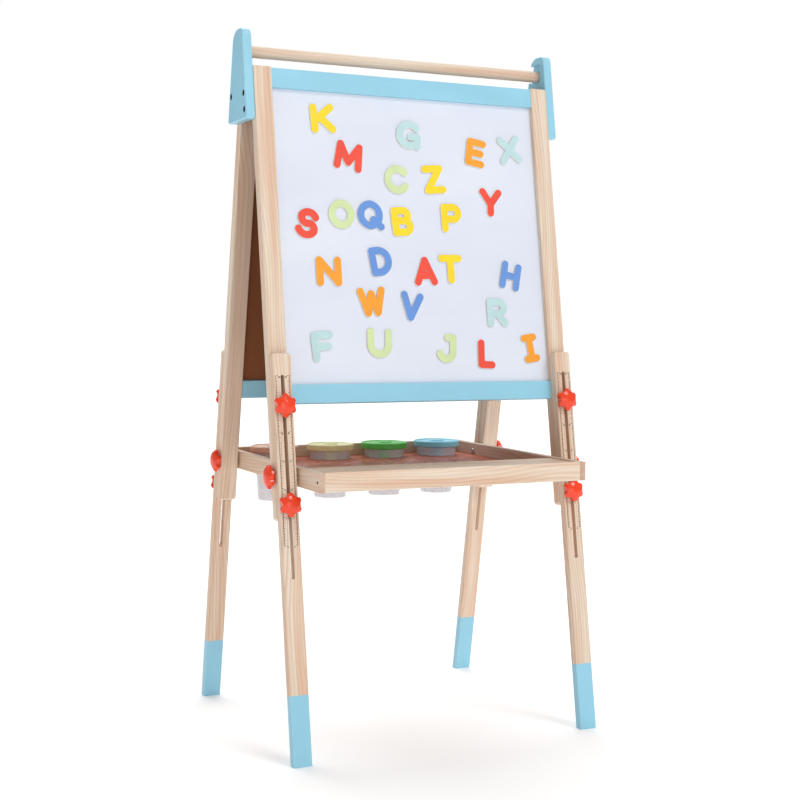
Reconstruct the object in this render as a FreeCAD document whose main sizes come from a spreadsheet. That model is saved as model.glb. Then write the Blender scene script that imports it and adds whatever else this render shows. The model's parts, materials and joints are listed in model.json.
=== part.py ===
import FreeCAD, Part

# Double-sided easel for children, as a parametric FreeCAD document.
#
# Two frames lean together under a pair of head cheeks: the front one holds a whiteboard, the rear one a
# chalkboard.  Each frame has two stiles, and each stile has a slotted leg clamped to its outer face by two
# studs with star knobs, so the height can be set.  A level tray with four lidded paint cups hangs between
# the frames, a paper rod lies in the head cheeks, and 26 magnetic letters sit on the whiteboard.
#
# World axes: X across the boards, Y from the whiteboard side to the chalkboard side, Z up, millimetres.
# The origin is under the middle of the easel, on the floor.
# "Along the lean" is measured up a frame's own slope from the floor, "depth" inwards from the outer
# (room side) face of its legs.

import math
import os

import Sketcher
from FreeCAD import Placement, Rotation, Vector

doc = FreeCAD.newDocument("ChildrensEasel")
sizes = doc.addObject("Spreadsheet::Sheet", "Sizes")
layout = doc.addObject("Spreadsheet::Sheet", "Layout")

# ---------------------------------------------------------------- driving sizes (mm, degrees)
SIZES = [
    # frames
    ("frame_width", 616, "outer width over the front stiles and legs"),
    ("lean_front", 9.3, "lean of the front frame from upright, degrees"),
    ("lean_rear", 10.1, "lean of the rear frame from upright, degrees"),
    ("stile_low", 427, "lower end of the stiles, along the lean"),
    ("stile_len", 827, "length of a stile"),
    ("leg_wide", 35, "width of legs and stiles, across the easel"),
    ("stile_thick", 21.9, "thickness of a stile"),
    ("leg_thick", 17.3, "thickness of a leg"),
    ("clamp_gap", 0.2, "clearance between a leg and its stile"),
    ("arris", 2, "rounding of the long wooden edges"),
    ("end_round", 6, "rounding of the corners at leg and stile ends"),
    # leg adjustment
    ("clamp_from_end", 26.4, "lower clamp bolt above the stile's lower end"),
    ("clamp_spacing", 175.4, "between the two clamp bolts"),
    ("clamp_bite", 17.5, "clamp stud screwed into the stile"),
    ("leg_drop", 52.2, "how far a leg can be let down"),
    ("leg_raise", 126.5, "how far a leg can be pushed up"),
    ("leg_end", 38.8, "leg above its slot"),
    ("bolt_dia", 6, "clamp studs, tray and cheek bolts"),
    ("slot_play", 1, "slot wider than its bolt"),
    ("bore_play", 0.08, "radial clearance of a bolt in a drilled hole"),
    ("dome_dia", 11.6, "domed bolt heads"),
    ("dome_rise", 3, "height of the domed bolt heads"),
    # knobs
    ("knob_dia", 43, "star knob over its points"),
    ("knob_rise", 17, "height of a knob off its seat"),
    ("knob_hub_dia", 21, "hub under the star"),
    ("knob_hub_rise", 3.5, "height of that hub"),
    ("knob_rim_rise", 10.5, "height of the star's rim"),
    ("knob_waist_dia", 33, "star over its hollows"),
    ("knob_scoop", 11, "radius of the hollows between the points"),
    ("knob_grip", 11, "depth of the bolt in the knob"),
    ("knob_gap", 0.3, "clearance under a knob"),
    # rails and boards
    ("rail_thick", 18, "thickness of the rails"),
    ("rail_inset", 1.8, "rails behind the stiles' face"),
    ("rail_drop", 1.5, "top rail below the stiles' upper end"),
    ("rail_tall_top", 37.1, "height of the top rail"),
    ("rail_tall_low", 35, "height of the bottom rail"),
    ("rail_from_end", 207, "bottom rail's lower edge above the stiles' lower end"),
    ("rail_round", 1.5, "rounding of the rails' edges"),
    ("board_thick", 3.2, "thickness of the writing boards"),
    ("board_inset", 9.5, "boards behind the stiles' face"),
    ("groove_deep", 6, "depth of the grooves that hold the boards"),
    ("groove_play", 0.1, "clearance of a board in its groove"),
    # head cheeks and paper rod
    ("cheek_thick", 18, "thickness of a head cheek"),
    ("cheek_setback", 1.5, "cheek edges behind the stiles' outer faces"),
    ("cheek_below", 49, "cheek below the pivot"),
    ("cheek_above", 119, "cheek above the pivot"),
    ("cheek_round_rear", 28, "rear upper corner of a cheek"),
    ("cheek_round_front", 14, "front upper corner of a cheek"),
    ("cheek_round_low", 6, "lower corners of a cheek"),
    ("cheek_arris", 2.5, "rounding of a cheek's edges"),
    ("pivot_drop", 38, "pivot below the stiles' upper end, along the lean"),
    ("pivot_behind", 57.4, "pivot behind the front stiles"),
    ("pivot_dia", 8, "pivot bolt"),
    ("pivot_reach", 28, "pivot bolt in the rear stile"),
    ("pivot_gap", 0.3, "clearance between a cheek and the rear stile"),
    ("screw_head_dia", 12, "cheek screw heads"),
    ("screw_head_rise", 3, "thickness of those heads"),
    ("screw_sink", 3.4, "depth of their counterbores"),
    ("screw_reach", 25, "cheek screws in the front stile"),
    ("screw_high", 50.6, "upper cheek screw below the stile's upper end"),
    ("screw_spacing", 30.5, "between the cheek screws"),
    ("socket_key", 5, "hexagon key of the cheek screws"),
    ("socket_deep", 2.2, "depth of the hexagon socket"),
    ("notch_deep", 9, "rod notch into the cheek's inner face"),
    ("notch_wall", 18, "notch behind the cheek's front edge"),
    ("notch_seat", 68.5, "floor of the notch above the pivot"),
    ("notch_play", 13.5, "notch taller than the rod"),
    ("notch_lip", 2.5, "lip that keeps the rod in"),
    ("rod_dia", 22, "paper rod"),
    ("rod_chamfer", 1.5, "chamfer at the ends of the rod"),
    ("rod_front", 2, "rod behind the notch's front wall"),
    ("rod_gap", 0.3, "clearance under and beside the rod"),
    ("rod_end_gap", 1, "clearance at each end of the rod"),
    # tray
    ("tray_from_end", 78.4, "tray bolts above the stiles' lower end"),
    ("tray_fore", 119.4, "tray in front of its front bolts"),
    ("tray_aft", 89.4, "tray behind its rear bolts"),
    ("tray_tall", 35.1, "height of the tray's boards"),
    ("tray_wall", 12, "thickness of the tray's boards"),
    ("tray_gap", 4.5, "between the tray and the stiles"),
    ("tray_round", 2, "rounding of the tray's edges"),
    ("tray_floor_thick", 4, "tray floor panel"),
    ("tray_floor_rise", 11.4, "top of the floor above the tray's lower edge"),
    ("tray_groove", 5, "depth of the grooves that hold the floor"),
    ("ledge_deep", 112.8, "front ledge, from the tray's front face"),
    ("ledge_thick", 9, "thickness of the ledge"),
    ("ledge_drop", 3, "ledge below the boards' upper edge"),
    ("pin_head_dia", 6.5, "tray screw heads"),
    ("pin_dia", 3.5, "tray screws"),
    ("pin_reach", 28, "length of the tray screws"),
    # cups
    ("cup_hole_play", 1, "floor hole wider than the cup, all round"),
    ("cup_dia", 76, "cup just under the floor"),
    ("cup_base_dia", 67, "cup at its base"),
    ("cup_below", 80, "cup below the floor's top"),
    ("cup_collar_dia", 83, "cup above the floor"),
    ("cup_collar_rise", 25, "height of that collar"),
    ("cup_skin", 1.8, "wall of a cup"),
    ("cup_gap", 0.3, "clearance under the collar and under the lid"),
    ("lid_dia", 96, "cup lid"),
    ("lid_rise", 12, "height of a lid"),
    ("lid_skin", 2.4, "wall of a lid"),
    ("lid_skirt_play", 0.6, "lid skirt round the collar"),
    ("lid_rear_gap", 2.3, "lids in front of the tray's rear board"),
    ("lid_dish", 1.6, "hollow in a lid's top"),
    ("lid_rim", 6, "width of a lid's rim"),
    ("lid_boss_dia", 30, "plug in the middle of a lid"),
    ("lid_boss_rise", 3.2, "height of the plug over the hollow"),
    # letters
    ("letters_across", 9.9, "letter heights that fit across the board"),
    ("letter_bold", 3.95, "letter height over stroke width"),
    ("letter_thick", 3, "thickness of a letter"),
    ("letter_gap", 0.3, "clearance behind a letter"),
]
for row, (alias, value, words) in enumerate(SIZES, 1):
    sizes.set(f"A{row}", words)
    sizes.set(f"B{row}", str(value))
    sizes.setAlias(f"B{row}", alias)
doc.recompute()

# ---------------------------------------------------------------- sizes that follow from them
LAYOUT = [
    ("half", "Sizes.frame_width / 2"),
    ("stile_in", "half - Sizes.leg_wide"),
    ("post_mid", "half - Sizes.leg_wide / 2"),
    ("leg_back", "Sizes.leg_thick + Sizes.clamp_gap"),
    ("stile_back", "leg_back + Sizes.stile_thick"),
    ("stile_mid", "leg_back + Sizes.stile_thick / 2"),
    ("stile_top", "Sizes.stile_low + Sizes.stile_len"),
    ("bolt_r", "Sizes.bolt_dia / 2"),
    ("bore_r", "bolt_r + Sizes.bore_play"),
    ("slot_wide", "Sizes.bolt_dia + Sizes.slot_play"),
    ("clamp_low", "Sizes.stile_low + Sizes.clamp_from_end"),
    ("clamp_high", "clamp_low + Sizes.clamp_spacing"),
    ("slot_low", "clamp_low - Sizes.leg_raise"),
    ("slot_high", "clamp_high + Sizes.leg_drop"),
    ("leg_top", "slot_high + slot_wide / 2 + Sizes.leg_end"),
    ("rear_half", "half - Sizes.pivot_gap"),
    ("rear_in", "rear_half - Sizes.leg_wide"),
    ("rear_mid", "rear_half - Sizes.leg_wide / 2"),
    # pivot, first in the front frame, then in the world, then in the rear frame
    ("pivot_up", "stile_top - Sizes.pivot_drop"),
    ("pivot_deep", "stile_back + Sizes.pivot_behind"),
    ("pivot_y", "pivot_up * sin(Sizes.lean_front) + pivot_deep * cos(Sizes.lean_front)"),
    ("pivot_z", "pivot_up * cos(Sizes.lean_front) - pivot_deep * sin(Sizes.lean_front)"),
    ("rear_pivot_up", "(pivot_z + stile_mid * sin(Sizes.lean_rear)) / cos(Sizes.lean_rear)"),
    ("rear_foot", "pivot_y + rear_pivot_up * sin(Sizes.lean_rear) + stile_mid * cos(Sizes.lean_rear)"),
    # tray: its bolts pass through the middle of the stiles
    ("tray_up", "Sizes.stile_low + Sizes.tray_from_end"),
    ("tray_mid", "tray_up * cos(Sizes.lean_front) - stile_mid * sin(Sizes.lean_front)"),
    ("tray_bolt_front", "tray_up * sin(Sizes.lean_front) + stile_mid * cos(Sizes.lean_front)"),
    ("rear_tray_up", "(tray_mid + stile_mid * sin(Sizes.lean_rear)) / cos(Sizes.lean_rear)"),
    ("tray_bolt_rear", "rear_foot - rear_tray_up * sin(Sizes.lean_rear) - stile_mid * cos(Sizes.lean_rear)"),
    ("tray_front", "tray_bolt_front - Sizes.tray_fore"),
    ("tray_rear", "tray_bolt_rear + Sizes.tray_aft"),
    ("tray_low", "tray_mid - Sizes.tray_tall / 2"),
    ("tray_top", "tray_low + Sizes.tray_tall"),
    ("tray_half", "stile_in - Sizes.tray_gap"),
    ("tray_in", "tray_half - Sizes.tray_wall"),
    ("floor_top", "tray_low + Sizes.tray_floor_rise"),
    ("floor_low", "floor_top - Sizes.tray_floor_thick"),
    ("mid_y", "(rear_foot + min(0; tray_front)) / 2"),
    # cups: equal gaps between the lids across the tray
    ("lid_gap", "(2 * tray_in - 4 * Sizes.lid_dia) / 5"),
    ("cup_pitch", "Sizes.lid_dia + lid_gap"),
    ("cup_y", "tray_rear - Sizes.tray_wall - Sizes.lid_rear_gap - Sizes.lid_dia / 2"),
    ("cup_hole_r", "Sizes.cup_dia / 2 + Sizes.cup_hole_play"),
    ("cup_top", "floor_top + Sizes.cup_gap + Sizes.cup_collar_rise"),
    # rails and boards, along the lean
    ("top_rail_high", "stile_top - Sizes.rail_drop"),
    ("top_rail_low", "top_rail_high - Sizes.rail_tall_top"),
    ("low_rail_low", "Sizes.stile_low + Sizes.rail_from_end"),
    ("low_rail_high", "low_rail_low + Sizes.rail_tall_low"),
    ("rail_face", "leg_back + Sizes.rail_inset"),
    ("board_face", "leg_back + Sizes.board_inset"),
    ("board_back", "board_face + Sizes.board_thick"),
    ("board_tall", "top_rail_low - low_rail_high"),
    ("board_mid", "(top_rail_low + low_rail_high) / 2"),
    ("board_wide", "2 * stile_in"),
    ("tongue", "Sizes.groove_deep - Sizes.groove_play"),
    # head cheeks
    ("cheek_low", "pivot_z - Sizes.cheek_below"),
    ("cheek_high", "pivot_z + Sizes.cheek_above"),
    ("cheek_deep", "leg_back + Sizes.cheek_setback"),
    ("notch_floor", "pivot_z + Sizes.notch_seat"),
    ("notch_roof", "notch_floor + Sizes.rod_dia + Sizes.notch_play"),
    ("rod_z", "notch_floor + Sizes.rod_dia / 2 + Sizes.rod_gap"),
    ("notch_y", "rod_z * tan(Sizes.lean_front) + cheek_deep / cos(Sizes.lean_front) + Sizes.notch_wall"),
    ("rod_y", "notch_y + Sizes.rod_dia / 2 + Sizes.rod_front"),
    ("rod_half", "half + Sizes.notch_deep - Sizes.rod_end_gap"),
    ("screw_up_high", "stile_top - Sizes.screw_high"),
    ("screw_up_low", "screw_up_high - Sizes.screw_spacing"),
    # letters
    ("letter_tall", "min(board_wide; board_tall) / Sizes.letters_across"),
    ("stroke", "letter_tall / Sizes.letter_bold"),
]
for row, (alias, formula) in enumerate(LAYOUT, 1):
    layout.set(f"A{row}", alias)
    layout.set(f"B{row}", "=" + formula)
    layout.setAlias(f"B{row}", alias)
doc.recompute()
HOME = {**{a: "Sizes." + a for a, _, _ in SIZES}, **{a: "Layout." + a for a, _ in LAYOUT}}


def cells(expression):
    """Write the sheet's name before every alias in a plain expression."""
    out, word = [], ""
    for ch in str(expression) + " ":
        if ch.isalnum() or ch in "_.":
            word += ch
            continue
        out.append(HOME.get(word, word))
        out.append(ch)
        word = ""
    return "".join(out).strip()


def value(expression):
    got = layout.evalExpression(cells(expression))
    return float(getattr(got, "Value", got))


def bind(obj, prop, expression):
    obj.setExpression(prop, cells(expression))


# ---------------------------------------------------------------- placing pieces
def place(obj, frame, offset=None, turn=None):
    """Put a piece into the front frame, the rear frame or the level world.

    offset is (x, depth, up) in that frame as expressions; turn is an extra Rotation done first."""
    x, deep, up = offset or ("0", "0", "0")
    if frame == "front":
        lean, y0, sign = "lean_front", "0", 1
        y = f"({up}) * sin({lean}) + ({deep}) * cos({lean})"
        z = f"({up}) * cos({lean}) - ({deep}) * sin({lean})"
    elif frame == "rear":
        lean, y0, sign = "lean_rear", "rear_foot", -1
        y = f"rear_foot - ({up}) * sin({lean}) - ({deep}) * cos({lean})"
        z = f"({up}) * cos({lean}) - ({deep}) * sin({lean})"
    else:
        lean, sign = None, 0
        y, z = deep, up
    base = Rotation(Vector(1, 0, 0), -sign * value(lean)) if lean else Rotation()
    spin = base.multiply(turn) if turn else base
    obj.Placement = Placement(Vector(value(x), value(y) - value("mid_y"), value(z)), spin)
    bind(obj, "Placement.Base.x", x)
    bind(obj, "Placement.Base.y", f"{y} - mid_y")
    bind(obj, "Placement.Base.z", z)


# ---------------------------------------------------------------- sketches and features
def new_body(label):
    body = doc.addObject("PartDesign::Body", "Body_" + label)
    body.Label = label
    return body


def new_sketch(body, name, plane, offset="0"):
    sketch = body.newObject("Sketcher::SketchObject", body.Label + "_" + name)
    origin = [o for o in body.Origin.OriginFeatures if o.Role == plane][0]
    sketch.AttachmentSupport = [(origin, "")]
    sketch.MapMode = "FlatFace"
    sketch.AttachmentOffset = Placement(Vector(0, 0, value(offset)), Rotation())
    bind(sketch, "AttachmentOffset.Base.z", offset)
    return sketch


def pin(sketch, kind, geo, point, name, expression):
    """Hold one coordinate of a point on an expression."""
    index = sketch.addConstraint(Sketcher.Constraint(kind, -1, 1, geo, point, value(expression)))
    sketch.renameConstraint(index, name)
    bind(sketch, "Constraints." + name, expression)


def add_outline(sketch, points, tag="p"):
    """Closed outline of straight lines through (u, v) expressions."""
    spots = [(value(u), value(v)) for u, v in points]
    lines = []
    for i, (a, b) in enumerate(zip(spots, spots[1:] + spots[:1])):
        lines.append(sketch.addGeometry(Part.LineSegment(Vector(*a, 0), Vector(*b, 0)), False))
    for i, line in enumerate(lines):
        sketch.addConstraint(Sketcher.Constraint("Coincident", line, 2, lines[(i + 1) % len(lines)], 1))
    for i, (line, (u, v)) in enumerate(zip(lines, points)):
        pin(sketch, "DistanceX", line, 1, f"{tag}{i}u", u)
        pin(sketch, "DistanceY", line, 1, f"{tag}{i}v", v)


def add_circle(sketch, u, v, radius, tag="c"):
    circle = Part.Circle(Vector(value(u), value(v), 0), Vector(0, 0, 1), value(radius))
    geo = sketch.addGeometry(circle, False)
    pin(sketch, "DistanceX", geo, 3, tag + "u", u)
    pin(sketch, "DistanceY", geo, 3, tag + "v", v)
    index = sketch.addConstraint(Sketcher.Constraint("Radius", geo, value(radius)))
    sketch.renameConstraint(index, tag + "r")
    bind(sketch, "Constraints." + tag + "r", radius)


def add_slot(sketch, u, low, high, radius):
    """Upright slot with round ends, its end centres at low and high."""
    x, y0, y1, r = value(u), value(low), value(high), value(radius)
    up = sketch.addGeometry(Part.ArcOfCircle(Part.Circle(Vector(x, y1, 0), Vector(0, 0, 1), r), 0, math.pi))
    down = sketch.addGeometry(
        Part.ArcOfCircle(Part.Circle(Vector(x, y0, 0), Vector(0, 0, 1), r), math.pi, 2 * math.pi)
    )
    left = sketch.addGeometry(Part.LineSegment(Vector(x - r, y1, 0), Vector(x - r, y0, 0)))
    right = sketch.addGeometry(Part.LineSegment(Vector(x + r, y0, 0), Vector(x + r, y1, 0)))
    for a, pa, b, pb in ((up, 2, left, 1), (left, 2, down, 1), (down, 2, right, 1), (right, 2, up, 1)):
        sketch.addConstraint(Sketcher.Constraint("Tangent", a, pa, b, pb))
    sketch.addConstraint(Sketcher.Constraint("Equal", up, down))
    pin(sketch, "DistanceX", up, 3, "uc", u)
    pin(sketch, "DistanceY", up, 3, "vhigh", high)
    pin(sketch, "DistanceX", down, 3, "ud", u)
    pin(sketch, "DistanceY", down, 3, "vlow", low)
    index = sketch.addConstraint(Sketcher.Constraint("Radius", up, r))
    sketch.renameConstraint(index, "round")
    bind(sketch, "Constraints.round", radius)


def pad(body, sketch, length, reverse=False):
    feature = body.newObject("PartDesign::Pad", sketch.Label + "_pad")
    feature.Profile = sketch
    feature.Length = value(length)
    bind(feature, "Length", length)
    feature.Reversed = reverse
    doc.recompute()
    return feature


def pocket(body, sketch, length=None, reverse=False):
    """Cut a sketch into the body, to a depth or right through, and make sure that it cuts."""
    before = body.Shape.Volume
    feature = body.newObject("PartDesign::Pocket", sketch.Label + "_cut")
    feature.Profile = sketch
    if length is None:
        feature.Type = 1
        feature.Midplane = True
    else:
        feature.Length = value(length)
        bind(feature, "Length", length)
        feature.Reversed = reverse
    doc.recompute()
    if not body.Shape.Volume < before - 1e-6:
        raise RuntimeError(f"{feature.Label} cuts nothing")
    return feature


def pocket_between(body, sketch, y0, y1):
    """Cut a sketch on the XZ plane from y0 to y1."""
    sketch.AttachmentOffset = Placement(Vector(0, 0, -value(y0)), Rotation())
    bind(sketch, "AttachmentOffset.Base.z", f"0 - ({y0})")
    return pocket(body, sketch, f"({y1}) - ({y0})")


def revolve(body, sketch):
    feature = body.newObject("PartDesign::Revolution", sketch.Label + "_turned")
    feature.Profile = sketch
    feature.ReferenceAxis = (sketch, ["V_Axis"])
    feature.Angle = 360
    doc.recompute()
    return feature


def edge_names(shape, test):
    """Names of the straight or curved edges for which test(start, end, middle, edge) holds."""
    names = []
    for i, edge in enumerate(shape.Edges, 1):
        ends = [v.Point for v in edge.Vertexes]
        if not ends:
            continue
        mid = edge.valueAt((edge.FirstParameter + edge.LastParameter) / 2)
        if test(ends[0], ends[-1], mid, edge):
            names.append(f"Edge{i}")
    return names


def fillet(body, base, radius, test, name="soft"):
    edges = edge_names(base.Shape, test)
    if not edges:
        raise RuntimeError(f"{body.Label}: no edge for {name}")
    feature = body.newObject("PartDesign::Fillet", f"{body.Label}_{name}")
    feature.Base = (base, edges)
    feature.Radius = value(radius)
    bind(feature, "Radius", radius)
    doc.recompute()
    return feature


def along(axis, shortest=1.0):
    """Edge test: straight and parallel to an axis (0, 1, 2), and longer than a length."""

    def test(a, b, mid, edge):
        step = b - a
        rest = [abs(step[i]) for i in range(3) if i != axis]
        return abs(step[axis]) > shortest and max(rest) < 1e-6

    return test


def bar(label, x0, x1, y0, y1, z0, z1, long_axis, radius="arris"):
    """Rectangular wooden piece between expressions, its long edges rounded."""
    body = new_body(label)
    sketch = new_sketch(body, "section", "XY_Plane", z0)
    add_outline(sketch, [(x0, y0), (x1, y0), (x1, y1), (x0, y1)])
    solid = pad(body, sketch, f"({z1}) - ({z0})")
    if radius:
        solid = fillet(body, solid, radius, along(long_axis))
    return body, solid


def mirrored(source, label):
    """The same piece on the other side of the easel's middle plane."""
    other = doc.addObject("Part::Mirroring", "Mirror_" + label)
    other.Source = source
    other.Normal = (1, 0, 0)
    other.Base = (0, 0, 0)
    other.Label = label
    doc.recompute()
    return other


pieces = []


def both_sides(body, stem):
    """Name the piece on the right and make its mirror image on the left."""
    body.Label = stem + "_right"
    doc.recompute()
    pieces.extend([body, mirrored(body, stem + "_left")])


def depth(frame, expression):
    """A frame's depth as the local y of its pieces: the rear frame's depth runs the other way."""
    return f"({expression})" if frame == "front" else f"0 - ({expression})"


# ---------------------------------------------------------------- legs and stiles
def leg(frame):
    """Slotted leg, its foot cut level with the floor."""
    inner, lean = ("stile_in", "lean_front") if frame == "front" else ("rear_in", "lean_rear")
    mid = "post_mid" if frame == "front" else "rear_mid"
    body = new_body(frame + "_leg")
    sketch = new_sketch(body, "side", "YZ_Plane", inner)
    back = depth(frame, "leg_thick")
    add_outline(sketch, [("0", "0"), (back, f"leg_thick * tan({lean})"), (back, "leg_top"), ("0", "leg_top")])
    solid = pad(body, sketch, "leg_wide")
    high = value("leg_top")
    solid = fillet(body, solid, "end_round", lambda a, b, m, e: along(1)(a, b, m, e) and m.z > high - 1, "end")
    solid = fillet(
        body, solid, "arris", lambda a, b, m, e: abs(b.z - a.z) > value("leg_top") / 2 and abs(b.x - a.x) < 1e-6
    )
    slot = new_sketch(body, "slot", "XZ_Plane")
    add_slot(slot, mid, "slot_low", "slot_high", "slot_wide / 2")
    pocket(body, slot)
    place(body, frame)
    both_sides(body, frame + "_leg")


def stile(frame):
    """Stile with a groove for its board, and bores for the clamps, the tray and the head."""
    outer, inner = ("half", "stile_in") if frame == "front" else ("rear_half", "rear_in")
    mid = "post_mid" if frame == "front" else "rear_mid"
    body, solid = bar(
        frame + "_stile", inner, outer, depth(frame, "leg_back"), depth(frame, "stile_back"),
        "stile_low", "stile_top", 2,
    )
    for end in ("stile_low", "stile_top"):
        solid = fillet(
            body, solid, "end_round" if end == "stile_low" else "arris",
            lambda a, b, m, e: along(1)(a, b, m, e) and abs(m.z - value(end)) < 1 and abs(b.x - a.x) < 1e-6,
            end,
        )
    groove = new_sketch(body, "groove", "XY_Plane", "low_rail_high - groove_deep")
    y0 = depth(frame, "board_face - groove_play")
    y1 = depth(frame, "board_back + groove_play")
    wall = f"{inner} + groove_deep"
    add_outline(groove, [(f"{inner} - 1", y0), (wall, y0), (wall, y1), (f"{inner} - 1", y1)])
    pocket(body, groove, "board_tall + 2 * groove_deep", reverse=True)
    clamps = new_sketch(body, "clamps", "XZ_Plane")
    add_circle(clamps, mid, "clamp_low", "bore_r", "a")
    add_circle(clamps, mid, "clamp_high", "bore_r", "b")
    ends = [depth(frame, "leg_back"), depth(frame, "leg_back + clamp_bite")]
    pocket_between(body, clamps, *(ends if frame == "front" else ends[::-1]))
    side = new_sketch(body, "tray", "YZ_Plane")
    add_circle(side, depth(frame, "stile_mid"), "tray_up" if frame == "front" else "rear_tray_up", "bore_r", "a")
    pocket(body, side)
    head = new_sketch(body, "head", "YZ_Plane", outer)
    if frame == "front":
        add_circle(head, "stile_mid", "screw_up_high", "bore_r", "a")
        add_circle(head, "stile_mid", "screw_up_low", "bore_r", "b")
        pocket(body, head, "screw_reach")
    else:
        add_circle(head, depth(frame, "stile_mid"), "rear_pivot_up", "pivot_dia / 2 + bore_play", "a")
        pocket(body, head, "pivot_reach + 0.5")
    place(body, frame)
    both_sides(body, frame + "_stile")


def rail(frame, name, low, high, groove_up):
    """Painted rail between the stiles, grooved along the edge that holds the board."""
    inner = "stile_in" if frame == "front" else "rear_in"
    body = new_body(f"{frame}_{name}_rail")
    sketch = new_sketch(body, "section", "YZ_Plane", f"0 - {inner}")
    f0, f1 = depth(frame, "rail_face"), depth(frame, "rail_face + rail_thick")
    g0, g1 = depth(frame, "board_face - groove_play"), depth(frame, "board_back + groove_play")
    edge, bottom = (high, f"{high} - groove_deep") if groove_up else (low, f"{low} + groove_deep")
    far = low if groove_up else high
    add_outline(
        sketch,
        [(f0, far), (f1, far), (f1, edge), (g1, edge), (g1, bottom), (g0, bottom), (g0, edge), (f0, edge)],
    )
    solid = pad(body, sketch, f"2 * {inner}")
    faces = {round(value(f0), 4), round(value(f1), 4)}
    fillet(body, solid, "rail_round", lambda a, b, m, e: along(0)(a, b, m, e) and round(m.y, 4) in faces)
    place(body, frame)
    pieces.append(body)


def board(frame, label):
    """Writing board with its edges in the grooves of the stiles and rails."""
    inner = "stile_in" if frame == "front" else "rear_in"
    edge = f"({inner} + tongue)"
    body, _ = bar(
        label, f"0 - {edge}", edge, depth(frame, "board_face"), depth(frame, "board_back"),
        "low_rail_high - tongue", "top_rail_low + tongue", 2, radius=None,
    )
    place(body, frame)
    pieces.append(body)


for frame, panel in (("front", "whiteboard"), ("rear", "chalkboard")):
    leg(frame)
    stile(frame)
    rail(frame, "top", "top_rail_low", "top_rail_high", False)
    rail(frame, "bottom", "low_rail_low", "low_rail_high", True)
    board(frame, panel)


# ---------------------------------------------------------------- head cheeks
def front_edge(z):
    return f"({z}) * tan(lean_front) + cheek_deep / cos(lean_front)"


def rear_edge(z):
    return f"rear_foot - ({z}) * tan(lean_rear) - cheek_deep / cos(lean_rear)"


def cheek():
    """Painted cheek on the stiles' outer faces, with a blind notch for the rod that opens to the rear."""
    body = new_body("cheek")
    sketch = new_sketch(body, "side", "YZ_Plane", "half")
    add_outline(
        sketch,
        [(front_edge("cheek_low"), "cheek_low"), (rear_edge("cheek_low"), "cheek_low"),
         (rear_edge("cheek_high"), "cheek_high"), (front_edge("cheek_high"), "cheek_high")],
    )
    solid = pad(body, sketch, "cheek_thick")
    low, high, middle = value("cheek_low"), value("cheek_high"), value("notch_y")
    corners = (
        ("cheek_round_low", lambda m: m.z < low + 1),
        ("cheek_round_rear", lambda m: m.z > high - 1 and m.y > middle),
        ("cheek_round_front", lambda m: m.z > high - 1 and m.y < middle),
    )
    for radius, where in corners:
        solid = fillet(
            body, solid, radius, lambda a, b, m, e: along(0)(a, b, m, e) and where(m), radius
        )
    out = value("half + cheek_thick")
    solid = fillet(
        body, solid, "cheek_arris", lambda a, b, m, e: abs(a.x - b.x) < 1e-6 and abs(m.x - out) < 1e-3, "outer"
    )
    solid = fillet(
        body, solid, "cheek_arris",
        lambda a, b, m, e: abs(a.x - b.x) < 1e-6 and abs(m.x - value("half")) < 1e-3 and m.y < middle
        and m.z < high - value("cheek_round_front") - 1 and abs(b.z - a.z) > 10,
        "inner",
    )
    notch = new_sketch(body, "notch", "YZ_Plane", "half")
    far = "rear_foot"
    jaw = rear_edge("notch_floor")
    add_outline(
        notch,
        [("notch_y", "notch_floor"), (f"{jaw} - 6 * notch_lip", "notch_floor"),
         (f"{jaw} - 3 * notch_lip", "notch_floor + notch_lip"), (far, "notch_floor + notch_lip"),
         (far, "notch_roof"), ("notch_y", "notch_roof")],
    )
    pocket(body, notch, "notch_deep", reverse=True)
    # drilled holes, then the counterbores for the heads
    spots = []
    for up in ("screw_up_high", "screw_up_low"):
        spots.append((f"{up} * sin(lean_front) + stile_mid * cos(lean_front)",
                      f"{up} * cos(lean_front) - stile_mid * sin(lean_front)", "bore_r"))
    spots.append(("pivot_y", "pivot_z", "pivot_dia / 2 + bore_play"))
    holes = new_sketch(body, "holes", "YZ_Plane")
    sinks = new_sketch(body, "sinks", "YZ_Plane", "half + cheek_thick")
    for i, (y, z, r) in enumerate(spots):
        add_circle(holes, y, z, r, f"d{i}")
        add_circle(sinks, y, z, "screw_head_dia / 2 + bore_play", f"e{i}")
    pocket(body, holes)
    pocket(body, sinks, "screw_sink")
    place(body, "level")
    both_sides(body, "head_cheek")
    return spots


cheek_spots = cheek()


def turned_pin(label, steps):
    """Round pin about its own Z from (radius, z) corners, listed up the outside from its lower end."""
    body = new_body(label)
    sketch = new_sketch(body, "profile", "XZ_Plane")
    first, last = steps[0][1], steps[-1][1]
    add_outline(sketch, [("0", first)] + steps + [("0", last)])
    return body, revolve(body, sketch)


OUT_RIGHT = Rotation(Vector(0, 1, 0), 90)   # local Z to world +X
OUT_FRONT = Rotation(Vector(1, 0, 0), 90)   # local Z out of the front frame's face
OUT_REAR = Rotation(Vector(1, 0, 0), -90)   # local Z out of the rear frame's face


def socket_head(label, radius, reach):
    """Screw with a round head and a hexagon socket; its head's underside is at z = 0."""
    body, _ = turned_pin(
        label,
        [(radius, f"0 - ({reach})"), (radius, "0"), ("screw_head_dia / 2", "0"),
         ("screw_head_dia / 2", "screw_head_rise")],
    )
    socket = new_sketch(body, "socket", "XY_Plane", "screw_head_rise")
    corner = "socket_key / sqrt(3)"
    add_outline(
        socket,
        [(f"{corner} * cos({a})", f"{corner} * sin({a})") for a in range(0, 360, 60)],
    )
    pocket(body, socket, "socket_deep")
    return body


def grouped(label, members):
    """Several small pieces of one kind under one name."""
    group = doc.addObject("Part::Compound", "Group_" + label)
    group.Links = members
    group.Label = label
    doc.recompute()
    pieces.append(group)


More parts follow.
